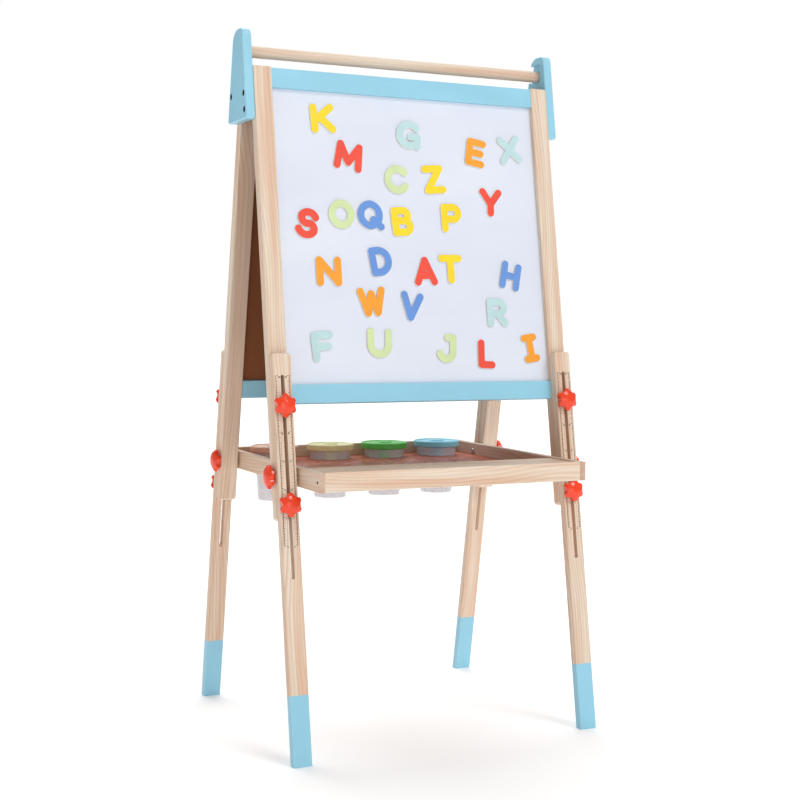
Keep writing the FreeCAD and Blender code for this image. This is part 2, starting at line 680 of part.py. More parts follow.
seat = "half + cheek_thick - screw_sink"
screws = []
for i, (y, z, _) in enumerate(cheek_spots[:2]):
    screw = socket_head(f"cheek_screw_{i}", "bolt_dia / 2", "cheek_thick - screw_sink + screw_reach - 1")
    place(screw, "level", (seat, y, z), OUT_RIGHT)
    screws.append(screw)
screws += [mirrored(s, s.Label + "_m") for s in list(screws)]
grouped("cheek_screws", screws)
hinge = socket_head("hinge", "pivot_dia / 2", "cheek_thick - screw_sink + pivot_gap + pivot_reach - 0.5")
place(hinge, "level", (seat, "pivot_y", "pivot_z"), OUT_RIGHT)
both_sides(hinge, "hinge_bolt")

# paper rod, resting in both notches
rod, _ = turned_pin(
    "paper_rod",
    [("rod_dia / 2 - rod_chamfer", "0 - rod_half"), ("rod_dia / 2", "0 - rod_half + rod_chamfer"),
     ("rod_dia / 2", "rod_half - rod_chamfer"), ("rod_dia / 2 - rod_chamfer", "rod_half")],
)
place(rod, "level", ("0", "rod_y", "rod_z"), OUT_RIGHT)
pieces.append(rod)


# ---------------------------------------------------------------- bolts
def dome_bolt(label, grip):
    """Bolt with a domed head on z < 0 and its shank up to z = grip."""
    body = new_body(label)
    sketch = new_sketch(body, "profile", "XZ_Plane")
    head = "dome_dia / 2"
    add_outline(
        sketch,
        [("0", "0 - dome_rise"), (f"{head} * 0.55", "0 - dome_rise * 0.92"),
         (f"{head} * 0.87", "0 - dome_rise * 0.6"), (head, "0 - dome_rise * 0.2"), (head, "0"),
         ("bolt_r", "0"), ("bolt_r", grip), ("0", grip)],
    )
    revolve(body, sketch)
    return body


CLAMP_LENGTH = "clamp_bite + clamp_gap + leg_thick + knob_gap + knob_grip"
for frame, outward in (("front", OUT_FRONT), ("rear", OUT_REAR)):
    mid = "post_mid" if frame == "front" else "rear_mid"
    pair = []
    for up in ("clamp_low", "clamp_high"):
        bolt, _ = turned_pin(f"{frame}_{up}_bolt", [("bolt_r", "0"), ("bolt_r", CLAMP_LENGTH)])
        place(bolt, frame, (mid, "leg_back + clamp_bite", up), outward)
        pair.append(bolt)
    grouped(f"{frame}_clamp_bolts_right", pair)
    grouped(f"{frame}_clamp_bolts_left", [mirrored(b, b.Label + "_m") for b in pair])

# front tray bolts turn with the tray; at the rear each bolt stops at the stile and a stub stays in the tray
tray_bolts = []
for side, y, grip in (
    ("front", "tray_bolt_front", "half - tray_in + knob_gap + knob_grip"),
    ("rear", "tray_bolt_rear", "tray_wall"),
):
    bolt = dome_bolt(f"tray_{side}_bolt", grip)
    place(bolt, "level", ("tray_in", y, "tray_mid"), OUT_RIGHT)
    tray_bolts += [bolt, mirrored(bolt, bolt.Label + "_m")]
grouped("tray_bolts", tray_bolts)
stud, _ = turned_pin(
    "rear_stud", [("bolt_r", "0"), ("bolt_r", "rear_half - rear_in + knob_gap + knob_grip")]
)
place(stud, "rear", ("rear_in", "stile_mid", "rear_tray_up"), OUT_RIGHT)
grouped("rear_tray_studs", [stud, mirrored(stud, "rear_stud_m")])


# ---------------------------------------------------------------- star knobs
def knob(label):
    """Moulded star knob on z > 0: domed, with six hollows between its points, bored for the bolt."""
    body = new_body(label)
    sketch = new_sketch(body, "profile", "XZ_Plane")
    rim = "knob_dia / 2"
    add_outline(
        sketch,
        [("0", "0"), ("knob_hub_dia / 2", "0"), ("knob_hub_dia / 2", "knob_hub_rise"),
         (f"{rim} - 1", "knob_hub_rise"), (rim, "knob_hub_rise + 1"), (rim, "knob_rim_rise - 2"),
         (f"{rim} - 0.6", "knob_rim_rise - 0.8"), (f"{rim} - 2", "knob_rim_rise"),
         (f"{rim} * 0.72", "knob_rim_rise + (knob_rise - knob_rim_rise) * 0.42"),
         (f"{rim} * 0.46", "knob_rim_rise + (knob_rise - knob_rim_rise) * 0.8"),
         (f"{rim} * 0.2", "knob_rise - 0.3"), ("0", "knob_rise")],
    )
    revolve(body, sketch)
    scoop = new_sketch(body, "scoop", "XY_Plane")
    add_circle(scoop, "0", "knob_waist_dia / 2 + knob_scoop", "knob_scoop", "a")
    cut = pocket(body, scoop)
    ring = body.newObject("PartDesign::PolarPattern", body.Label + "_points")
    ring.Originals = [cut]
    ring.Axis = (scoop, ["N_Axis"])
    ring.Angle = 360
    ring.Occurrences = 6
    body.Tip = ring
    doc.recompute()
    bore = new_sketch(body, "bore", "XY_Plane")
    add_circle(bore, "0", "0", "bore_r", "a")
    pocket(body, bore, "knob_grip + 0.5", reverse=True)
    return body


for frame, outward in (("front", OUT_FRONT), ("rear", OUT_REAR)):
    mid = "post_mid" if frame == "front" else "rear_mid"
    for name, up in (("lower", "clamp_low"), ("upper", "clamp_high")):
        star = knob(f"{frame}_{name}_knob")
        # a point stands up at rest
        place(star, frame, (mid, "0 - knob_gap", up), outward.multiply(Rotation(Vector(0, 0, 1), 30)))
        both_sides(star, f"{frame}_{name}_knob")
star = knob("tray_front_knob")
place(star, "level", ("half + knob_gap", "tray_bolt_front", "tray_mid"), OUT_RIGHT)
both_sides(star, "tray_front_knob")
star = knob("tray_rear_knob")
place(star, "rear", ("rear_half + knob_gap", "stile_mid", "rear_tray_up"), OUT_RIGHT)
both_sides(star, "tray_rear_knob")


# ---------------------------------------------------------------- tray
def tray_side():
    """Side board, from the front of the tray to its rear, grooved for the floor."""
    body, solid = bar("side", "tray_in", "tray_half", "tray_front", "tray_rear", "tray_low", "tray_top", 1,
                      "tray_round")
    groove = new_sketch(body, "groove", "XZ_Plane")
    play = "groove_play"
    add_outline(
        groove,
        [("tray_in - 1", f"floor_low - {play}"), (f"tray_in + tray_groove", f"floor_low - {play}"),
         (f"tray_in + tray_groove", f"floor_top + {play}"), ("tray_in - 1", f"floor_top + {play}")],
    )
    pocket_between(body, groove, "tray_front + tray_wall - tray_groove", "tray_rear - tray_wall + tray_groove")
    bores = new_sketch(body, "bores", "YZ_Plane")
    add_circle(bores, "tray_bolt_front", "tray_mid", "bore_r", "a")
    add_circle(bores, "tray_bolt_rear", "tray_mid", "bore_r", "b")
    pocket(body, bores)
    pins = new_sketch(body, "pins", "YZ_Plane")
    add_circle(pins, "tray_front + tray_wall / 2", "tray_mid", "pin_dia / 2 + bore_play", "a")
    add_circle(pins, "tray_rear - tray_wall / 2", "tray_mid", "pin_dia / 2 + bore_play", "b")
    pocket(body, pins)
    sinks = new_sketch(body, "sinks", "YZ_Plane", "tray_half")
    add_circle(sinks, "tray_front + tray_wall / 2", "tray_mid", "pin_head_dia / 2 + bore_play", "a")
    add_circle(sinks, "tray_rear - tray_wall / 2", "tray_mid", "pin_head_dia / 2 + bore_play", "b")
    pocket(body, sinks, "2")
    place(body, "level")
    both_sides(body, "tray_side")


def tray_end(label, outer, inner, sign):
    """Front or rear board between the side boards, grooved for the floor, bored for its screws."""
    body = new_body(label)
    sketch = new_sketch(body, "section", "YZ_Plane", "0 - tray_in")
    slot = f"{inner} {sign} tray_groove"
    low, high = "floor_low - groove_play", "floor_top + groove_play"
    add_outline(
        sketch,
        [(outer, "tray_low"), (inner, "tray_low"), (inner, low), (slot, low), (slot, high), (inner, high),
         (inner, "tray_top"), (outer, "tray_top")],
    )
    solid = pad(body, sketch, "2 * tray_in")
    edges = {round(value("tray_low"), 4), round(value("tray_top"), 4)}
    fillet(body, solid, "tray_round", lambda a, b, m, e: along(0)(a, b, m, e) and round(m.z, 4) in edges)
    for side, start, turned in (("r", "tray_in", False), ("l", "0 - tray_in", True)):
        bore = new_sketch(body, "pin_" + side, "YZ_Plane", start)
        add_circle(bore, f"({outer} + {inner}) / 2", "tray_mid", "pin_dia / 2 + bore_play", "a")
        pocket(body, bore, "pin_reach - tray_wall", reverse=turned)
    place(body, "level")
    pieces.append(body)


tray_side()
tray_end("tray_front_board", "tray_front", "tray_front + tray_wall", "-")
tray_end("tray_rear_board", "tray_rear", "tray_rear - tray_wall", "+")
ledge, _ = bar(
    "tray_ledge", "0 - tray_in", "tray_in", "tray_front + tray_wall", "tray_front + ledge_deep",
    "tray_top - ledge_drop - ledge_thick", "tray_top - ledge_drop", 0, radius=None,
)
rear_of_ledge = value("tray_front + ledge_deep")
fillet(ledge, ledge.Tip, "rail_round", lambda a, b, m, e: along(0)(a, b, m, e) and abs(m.y - rear_of_ledge) < 1e-3)
place(ledge, "level")
pieces.append(ledge)

floor, _ = bar(
    "tray_floor", "0 - tray_in - tray_groove + groove_play", "tray_in + tray_groove - groove_play",
    "tray_front + tray_wall - tray_groove + groove_play", "tray_rear - tray_wall + tray_groove - groove_play",
    "floor_low", "floor_top", 0, radius=None,
)
CUP_X = [f"{k} * cup_pitch" for k in ("-1.5", "-0.5", "0.5", "1.5")]
holes = new_sketch(floor, "cups", "XY_Plane")
for i, x in enumerate(CUP_X):
    add_circle(holes, x, "cup_y", "cup_hole_r", f"a{i}")
pocket(floor, holes)
place(floor, "level")
pieces.append(floor)

tray_pins = []
for end, y in (("front", "tray_front + tray_wall / 2"), ("rear", "tray_rear - tray_wall / 2")):
    screw, _ = turned_pin(
        f"tray_{end}_pin",
        [("pin_dia / 2", "1 - pin_reach"), ("pin_dia / 2", "0 - 2"), ("pin_head_dia / 2", "0 - 2"),
         ("pin_head_dia / 2", "0 - 0.4")],
    )
    place(screw, "level", ("tray_half", y, "tray_mid"), OUT_RIGHT)
    tray_pins += [screw, mirrored(screw, screw.Label + "_m")]
grouped("tray_screws", tray_pins)


# ---------------------------------------------------------------- cups and lids
def cup(label):
    """Open cup: tapered below the floor, with a wider collar that rests on it; z = 0 is the floor's top."""
    body = new_body(label)
    sketch = new_sketch(body, "profile", "XZ_Plane")
    base, waist, collar = "cup_base_dia / 2", "cup_dia / 2", "cup_collar_dia / 2"
    low, high = "0 - cup_below", "cup_gap + cup_collar_rise"
    add_outline(
        sketch,
        [("0", low), (f"{base} - 2", low), (base, f"{low} + 2"), (waist, "0 - 1.5"), (waist, "cup_gap"),
         (collar, "cup_gap"), (collar, high), (f"{collar} - cup_skin", high),
         (f"{collar} - cup_skin", "cup_gap + cup_skin"), (f"{waist} - cup_skin", "cup_gap + cup_skin"),
         (f"{waist} - cup_skin", "0 - 1.5"), (f"{base} - cup_skin", f"{low} + cup_skin + 1"),
         (f"{base} - cup_skin - 1", f"{low} + cup_skin"), ("0", f"{low} + cup_skin")],
    )
    revolve(body, sketch)
    return body


def lid(label):
    """Snap lid: dished top with a raised plug, and a skirt round the cup's collar; z = 0 is the cup's top."""
    body = new_body(label)
    sketch = new_sketch(body, "profile", "XZ_Plane")
    outer, hole = "lid_dia / 2", "cup_collar_dia / 2 + lid_skirt_play"
    high, low = "cup_gap + lid_skin + lid_dish", "cup_gap + lid_skin + lid_dish - lid_rise"
    dish, boss = "cup_gap + lid_skin", "lid_boss_dia / 2"
    add_outline(
        sketch,
        [("0", "cup_gap"), (hole, "cup_gap"), (hole, low), (f"{outer} - 1.5", low), (outer, f"{low} + 1.5"),
         (outer, f"{high} - 1.5"), (f"{outer} - 1.5", high), (f"{outer} - lid_rim", high),
         (f"{outer} - lid_rim - lid_dish", dish), (f"{boss} + 1.5", dish), (boss, f"{dish} + 1.2"),
         (f"{boss} - 0.5", f"{dish} + lid_boss_rise - 1"), (f"{boss} - 2", f"{dish} + lid_boss_rise"),
         ("0", f"{dish} + lid_boss_rise")],
    )
    revolve(body, sketch)
    return body


for i, x in enumerate(CUP_X, 1):
    pot = cup(f"cup_{i}")
    place(pot, "level", (x, "cup_y", "floor_top"))
    cap = lid(f"lid_{i}")
    place(cap, "level", (x, "cup_y", "cup_top"))
    pieces.extend([pot, cap])

# ---------------------------------------------------------------- letters
# Strokes of each letter: straight runs through points, and arcs through three points ("arc"), on a cell
# one unit high; x in the same unit.  Round-ended strokes of one width are joined into one solid.
GLYPHS = {
    "A": [[(0, 0), (0.42, 1), (0.84, 0)], [(0.14, 0.3), (0.7, 0.3)]],
    "B": [[(0, 0), (0, 1)], [(0, 1), (0.42, 1)], ["arc", (0.42, 1), (0.67, 0.765), (0.42, 0.53)],
          [(0, 0.53), (0.46, 0.53)], ["arc", (0.46, 0.53), (0.74, 0.265), (0.46, 0)], [(0.46, 0), (0, 0)]],
    "C": [["arc", (0.84, 0.83), (0.2, 0.91), (0, 0.5)], ["arc", (0, 0.5), (0.2, 0.09), (0.84, 0.17)]],
    "D": [[(0, 0), (0, 1)], [(0, 1), (0.3, 1)], ["arc", (0.3, 1), (0.76, 0.5), (0.3, 0)], [(0.3, 0), (0, 0)]],
    "E": [[(0.68, 1), (0, 1), (0, 0), (0.68, 0)], [(0, 0.5), (0.6, 0.5)]],
    "F": [[(0.72, 1), (0, 1), (0, 0)], [(0, 0.48), (0.62, 0.48)]],
    "G": [["arc", (0.84, 0.85), (0.2, 0.91), (0, 0.5)], ["arc", (0, 0.5), (0.22, 0.08), (0.72, 0.06)],
          [(0.9, 0), (0.9, 0.42), (0.56, 0.42)], [(0.72, 0.06), (0.9, 0.12)]],
    "H": [[(0, 0), (0, 1)], [(0.72, 0), (0.72, 1)], [(0, 0.5), (0.72, 0.5)]],
    "I": [[(0.25, 0), (0.25, 1)], [(0, 1), (0.5, 1)], [(0, 0), (0.5, 0)]],
    "J": [[(0.66, 1), (0.66, 0.3)], ["arc", (0.66, 0.3), (0.36, 0), (0, 0.22)], [(0.38, 1), (0.66, 1)]],
    "K": [[(0, 0), (0, 1)], [(0.82, 1), (0.06, 0.42)], [(0.28, 0.56), (0.86, 0)]],
    "L": [[(0, 1), (0, 0), (0.56, 0)]],
    "M": [[(0, 0), (0.06, 1), (0.52, 0.22), (0.98, 1), (1.04, 0)]],
    "N": [[(0, 0), (0, 1), (0.88, 0), (0.88, 1)]],
    "O": [["arc", (0.46, 1), (0, 0.5), (0.46, 0)], ["arc", (0.46, 0), (0.92, 0.5), (0.46, 1)]],
    "P": [[(0, 0), (0, 1)], [(0, 1), (0.42, 1)], ["arc", (0.42, 1), (0.72, 0.72), (0.42, 0.44)],
          [(0.42, 0.44), (0, 0.44)]],
    "Q": [["arc", (0.46, 1), (0, 0.5), (0.46, 0)], ["arc", (0.46, 0), (0.92, 0.5), (0.46, 1)],
          [(0.62, 0.28), (0.98, -0.04)]],
    "R": [[(0, 0), (0, 1)], [(0, 1), (0.42, 1)], ["arc", (0.42, 1), (0.72, 0.73), (0.42, 0.46)],
          [(0.42, 0.46), (0, 0.46)], [(0.38, 0.46), (0.76, 0)]],
    "S": [["arc", (0.76, 0.82), (0.4, 1.02), (0.1, 0.84)], ["arc", (0.1, 0.84), (0.16, 0.6), (0.42, 0.5)],
          ["arc", (0.42, 0.5), (0.7, 0.38), (0.72, 0.16)], ["arc", (0.72, 0.16), (0.4, -0.02), (0, 0.2)]],
    "T": [[(0, 1), (0.86, 1)], [(0.43, 1), (0.43, 0)]],
    "U": [[(0, 1), (0, 0.42)], ["arc", (0, 0.42), (0.44, 0), (0.88, 0.42)], [(0.88, 0.42), (0.88, 1)]],
    "V": [[(0, 1), (0.4, 0), (0.8, 1)]],
    "W": [[(0, 1), (0.28, 0), (0.52, 0.86), (0.76, 0), (1.04, 1)]],
    "X": [[(0, 0), (0.86, 1)], [(0, 1), (0.86, 0)]],
    "Y": [[(0, 1), (0.42, 0.42), (0.84, 1)], [(0.42, 0.42), (0.42, 0)]],
    "Z": [[(0.02, 1), (0.78, 1), (0.06, 0), (0.84, 0)]],
}
# where the letters lie: letter, share of the way from the board's middle to its side, share up from its
# middle to its top, and tilt in degrees (anticlockwise)
LETTERS = {
    "red": [("M", -0.516, 0.624, -10), ("Y", 0.687, 0.314, -3), ("S", -0.886, 0.095, -8),
            ("A", 0.073, -0.248, 2), ("L", 0.561, -0.894, -3)],
    "orange": [("E", 0.581, 0.711, -10), ("N", -0.732, -0.265, 0), ("W", -0.394, -0.492, 4),
               ("I", 0.959, -0.849, 8)],
    "yellow": [("K", -0.711, 0.906, 3), ("Z", 0.195, 0.479, 5), ("B", -0.098, 0.136, 4),
               ("P", 0.329, 0.178, 1), ("T", 0.293, -0.227, 1)],
    "green": [("C", -0.126, 0.463, 2), ("O", -0.602, 0.174, 1), ("U", -0.35, -0.807, -3),
              ("J", 0.215, -0.847, -4)],
    "aqua": [("G", 0.0, 0.822, -4), ("X", 0.894, 0.752, 8), ("R", 0.683, -0.566, 0),
             ("F", -0.813, -0.831, 4)],
    "blue": [("Q", -0.362, 0.174, 0), ("D", -0.301, -0.178, 8), ("H", 0.821, -0.273, -13),
             ("V", -0.065, -0.525, -8)],
}


def stroke_solid(path, unit, width, thick):
    """One stroke as a flat solid with round ends."""
    if path[0] == "arc":
        a, b, c = [Vector(x * unit, y * unit, 0) for x, y in path[1:]]
        wire = Part.Wire([Part.Arc(a, b, c).toShape()])
        return Part.Face(wire.makeOffset2D(width / 2, 0, False, False, False)).extrude(Vector(0, 0, thick))
    points = [Vector(x * unit, y * unit, 0) for x, y in path]
    runs = []
    for a, b in zip(points, points[1:]):
        step = (b - a).normalize()
        side = Vector(-step.y, step.x, 0) * (width / 2)
        tip, tail = step * (width / 2), step * (-width / 2)
        edges = [
            Part.LineSegment(a + side, b + side).toShape(), Part.Arc(b + side, b + tip, b - side).toShape(),
            Part.LineSegment(b - side, a - side).toShape(), Part.Arc(a - side, a + tail, a + side).toShape(),
        ]
        runs.append(Part.Face(Part.Wire(edges)).extrude(Vector(0, 0, thick)))
    return runs[0].multiFuse(runs[1:]) if len(runs) > 1 else runs[0]


def letter_solid(name, tall, width, thick):
    """One letter about its own middle, its back on z = 0."""
    unit = tall - width
    strokes = [stroke_solid(path, unit, width, thick) for path in GLYPHS[name]]
    solid = strokes[0].multiFuse(strokes[1:]) if len(strokes) > 1 else strokes[0]
    solid = solid.removeSplitter()
    box = solid.BoundBox
    solid.translate(Vector(-(box.XMin + box.XMax) / 2, -(box.YMin + box.YMax) / 2, 0))
    return solid


for colour, group in LETTERS.items():
    tall, width, thick = value("letter_tall"), value("stroke"), value("letter_thick")
    across = value("board_wide / 2") - tall / 2
    rise = value("board_tall / 2") - tall / 2
    solids = []
    for name, u, v, tilt in group:
        solid = letter_solid(name, tall, width, thick)
        solid.rotate(Vector(0, 0, 0), Vector(0, 0, 1), tilt)
        solid.translate(Vector(u * across, v * rise, 0))
        solids.append(solid)
    sheet = doc.addObject("Part::Feature", "Letters_" + colour)
    sheet.Label = "letters_" + colour
    sheet.Shape = Part.Compound(solids)
    place(sheet, "front", ("0", "board_face - letter_gap", "board_mid"), OUT_FRONT)
    pieces.append(sheet)

# ---------------------------------------------------------------- checks, then one file for each piece
doc.recompute()
for obj in doc.Objects:
    bad = [s for s in obj.State if s in ("Invalid", "Error")]
    if bad:
        raise RuntimeError(f"{obj.Label} is {bad}")
for piece in pieces:
    shape = piece.Shape
    if shape.isNull() or not shape.isValid() or not shape.Solids:
        raise RuntimeError(f"{piece.Label} has no valid solid")
labels = [piece.Label for piece in pieces]
if len(set(labels)) != len(labels):
    raise RuntimeError("two pieces have one name")
os.makedirs("parts", exist_ok=True)
for piece in pieces:
    piece.Shape.exportStep(f"parts/{piece.Label}.step")
print(len(pieces), "pieces")
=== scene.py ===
"""Finishes, ruler print, lid tubes and stage for a children's double-sided easel, built round its CAD frame."""

import json
import math

import bmesh
import bpy
from mathutils import Matrix, Vector

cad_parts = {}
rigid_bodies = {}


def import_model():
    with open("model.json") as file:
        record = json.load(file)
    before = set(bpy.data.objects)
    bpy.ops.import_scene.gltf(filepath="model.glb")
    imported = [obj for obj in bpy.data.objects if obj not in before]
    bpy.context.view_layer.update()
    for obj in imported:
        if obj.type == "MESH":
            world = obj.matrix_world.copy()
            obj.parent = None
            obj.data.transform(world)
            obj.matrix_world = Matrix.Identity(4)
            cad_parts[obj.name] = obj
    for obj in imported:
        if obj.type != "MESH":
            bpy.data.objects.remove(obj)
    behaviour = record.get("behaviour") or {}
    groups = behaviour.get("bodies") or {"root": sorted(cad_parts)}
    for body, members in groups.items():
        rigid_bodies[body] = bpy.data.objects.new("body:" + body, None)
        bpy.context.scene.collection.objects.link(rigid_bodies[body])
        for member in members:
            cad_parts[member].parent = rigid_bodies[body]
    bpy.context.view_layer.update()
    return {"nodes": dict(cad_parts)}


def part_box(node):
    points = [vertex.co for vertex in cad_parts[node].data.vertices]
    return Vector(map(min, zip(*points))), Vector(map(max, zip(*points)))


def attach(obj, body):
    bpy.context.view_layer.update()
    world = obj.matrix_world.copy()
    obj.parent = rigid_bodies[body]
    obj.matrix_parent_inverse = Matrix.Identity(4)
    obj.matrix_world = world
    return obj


bl_info = {
    "name": "Children's Easel",
    "version": (1, 0, 0),
    "blender": (4, 5, 0),
    "location": "3D View > Sidebar > Easel",
    "description": "Finishes and stages a double-sided easel with a tray of paint cups and magnetic letters",
    "category": "Object",
}

for leftover in list(bpy.data.objects):
    bpy.data.objects.remove(leftover)
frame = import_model()

MM = 0.001
SIDES = ("left", "right")
CUPS = (1, 2, 3, 4)
COLOURS = {"data_type": "RGBA"}  # a Mix node that blends colours
COATING_IOR = 1.5  # lacquer, enamel, ink and board films
WHITE = "#FFFFFF"
HARDBOARD_DARK, HARDBOARD_PALE = "#7A4524", "#8F5830"

# Tube under each lid.
TUBE_RADIUS, TUBE_WALL, TUBE_LENGTH, TUBE_LIP = 12.5 * MM, 1.6 * MM, 62 * MM, 0.6 * MM
TUBE_TOP = -4.5 * MM  # under the top of the lid
TUBE_TAPER = 0.95  # radius at the lower end, as a share of TUBE_RADIUS
TUBE_ROUND = 0.4  # how far the lip is rounded, as a share of TUBE_LIP

# Ruler print.
TICK_STEP, LABEL_STEP = 5 * MM, 50 * MM
TICK_LONG, TICK_MIDDLE, TICK_SHORT = 4.2 * MM, 3.0 * MM, 1.6 * MM
TICK_LINE, DIGIT_LINE = 0.8, 0.6  # widths as shares of the edge line's
DIGIT_GRID = 0.55 * MM
DIGIT_INSET, DIGIT_DROP = 6.3 * MM, 6.5  # from the edge line; below the tick, in grid steps
PRINT_BACK, PRINT_FACE = -0.02 * MM, -0.07 * MM  # in front of the leg's face

# Stage.
FLOOR_REACH, LAMP_REACH = 40.0, 3
SENSOR_WIDTH = 36
LENS_SHIFT = (-0.00176, -0.0111)
LEAN = {"front": math.radians(9.3), "rear": math.radians(10.1)}
FOOT_Y = {"front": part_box("front_leg_left")[0].y, "rear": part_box("rear_leg_left")[1].y}

# How a piece's object coordinates turn so that Z runs along its grain.
GRAIN_TURNS = {
    "front": (LEAN["front"], 0, 0),
    "rear": (-LEAN["rear"], 0, 0),
    "across": (0, -math.pi / 2, 0),
    "level": (math.pi / 2, 0, 0),
    "upright": (0, 0, 0),
}


# ---------------------------------------------------------------- colours, nodes and meshes
def linear(code):
    """An sRGB hex colour as the linear RGBA that sockets take."""
    parts = [int(code[i : i + 2], 16) / 255 for i in (1, 3, 5)]
    return tuple(p / 12.92 if p <= 0.04045 else ((p + 0.055) / 1.055) ** 2.4 for p in parts) + (1.0,)


def add(tree, kind, settings=None, inputs=None, out=None):
    """One node with its settings and links.

    inputs maps a socket's name or number to a value or to the socket it comes from. Returns the node,
    or its output socket out where that is given.
    """
    made = tree.nodes.new(kind)
    for name, value in (settings or {}).items():
        setattr(made, name, value)
    for key, value in (inputs or {}).items():
        if isinstance(value, bpy.types.NodeSocket):
            tree.links.new(value, made.inputs[key])
        else:
            made.inputs[key].default_value = value
    return made if out is None else made.outputs[out]


def start(name):
    """An empty material and its node tree."""
    made = bpy.data.materials.new(name)
    made.use_nodes = True
    made.node_tree.nodes.clear()
    return made, made.node_tree


def finish_with(tree, inputs):
    """The tree's one shader, with its inputs, and the output."""
    shader = add(tree, "ShaderNodeBsdfPrincipled", inputs=inputs)
    add(tree, "ShaderNodeOutputMaterial", inputs={"Surface": shader.outputs["BSDF"]})


def speckle(tree, spot, size, detail=2.0):
    """Blotches of a real size, in millimetres along each axis: returns the grey and the colour socket."""
    scale = tuple(1 / (s * MM) for s in size)
    wide = add(tree, "ShaderNodeMapping", {"vector_type": "POINT"}, {"Vector": spot, "Scale": scale}, 0)
    made = add(tree, "ShaderNodeTexNoise", {}, {"Vector": wide, "Scale": 1.0, "Detail": detail})
    return made.outputs["Fac"], made.outputs["Color"]


def grain_space(tree, lie):
    """Object coordinates and surface direction, both turned so that Z runs along the grain."""
    place = add(tree, "ShaderNodeTexCoord")
    return tuple(
        add(
            tree,
            "ShaderNodeMapping",
            {"vector_type": kind},
            {"Vector": place.outputs[source], "Rotation": GRAIN_TURNS[lie]},
            0,
        )
        for kind, source in (("POINT", "Object"), ("VECTOR", "Normal"))
    )


def arris_mask(tree, facing):
    """1 on the rounded edges of a squared piece, 0 on its flat faces."""
    flat = add(tree, "ShaderNodeVectorMath", {"operation": "ABSOLUTE"}, {0: facing})
    parts = add(tree, "ShaderNodeSeparateXYZ", {}, {0: flat.outputs[0]})
    most = add(
        tree,
        "ShaderNodeMath",
        {"operation": "MAXIMUM"},
        {
            0: add(tree, "ShaderNodeMath", {"operation": "MAXIMUM"}, {0: parts.outputs[0], 1: parts.outputs[1]}, 0),
            1: parts.outputs[2],
        },
        0,
    )
    return add(tree, "ShaderNodeMapRange", {}, {0: most, 1: 0.985, 2: 0.85, 3: 0.0, 4: 1.0}, 0)


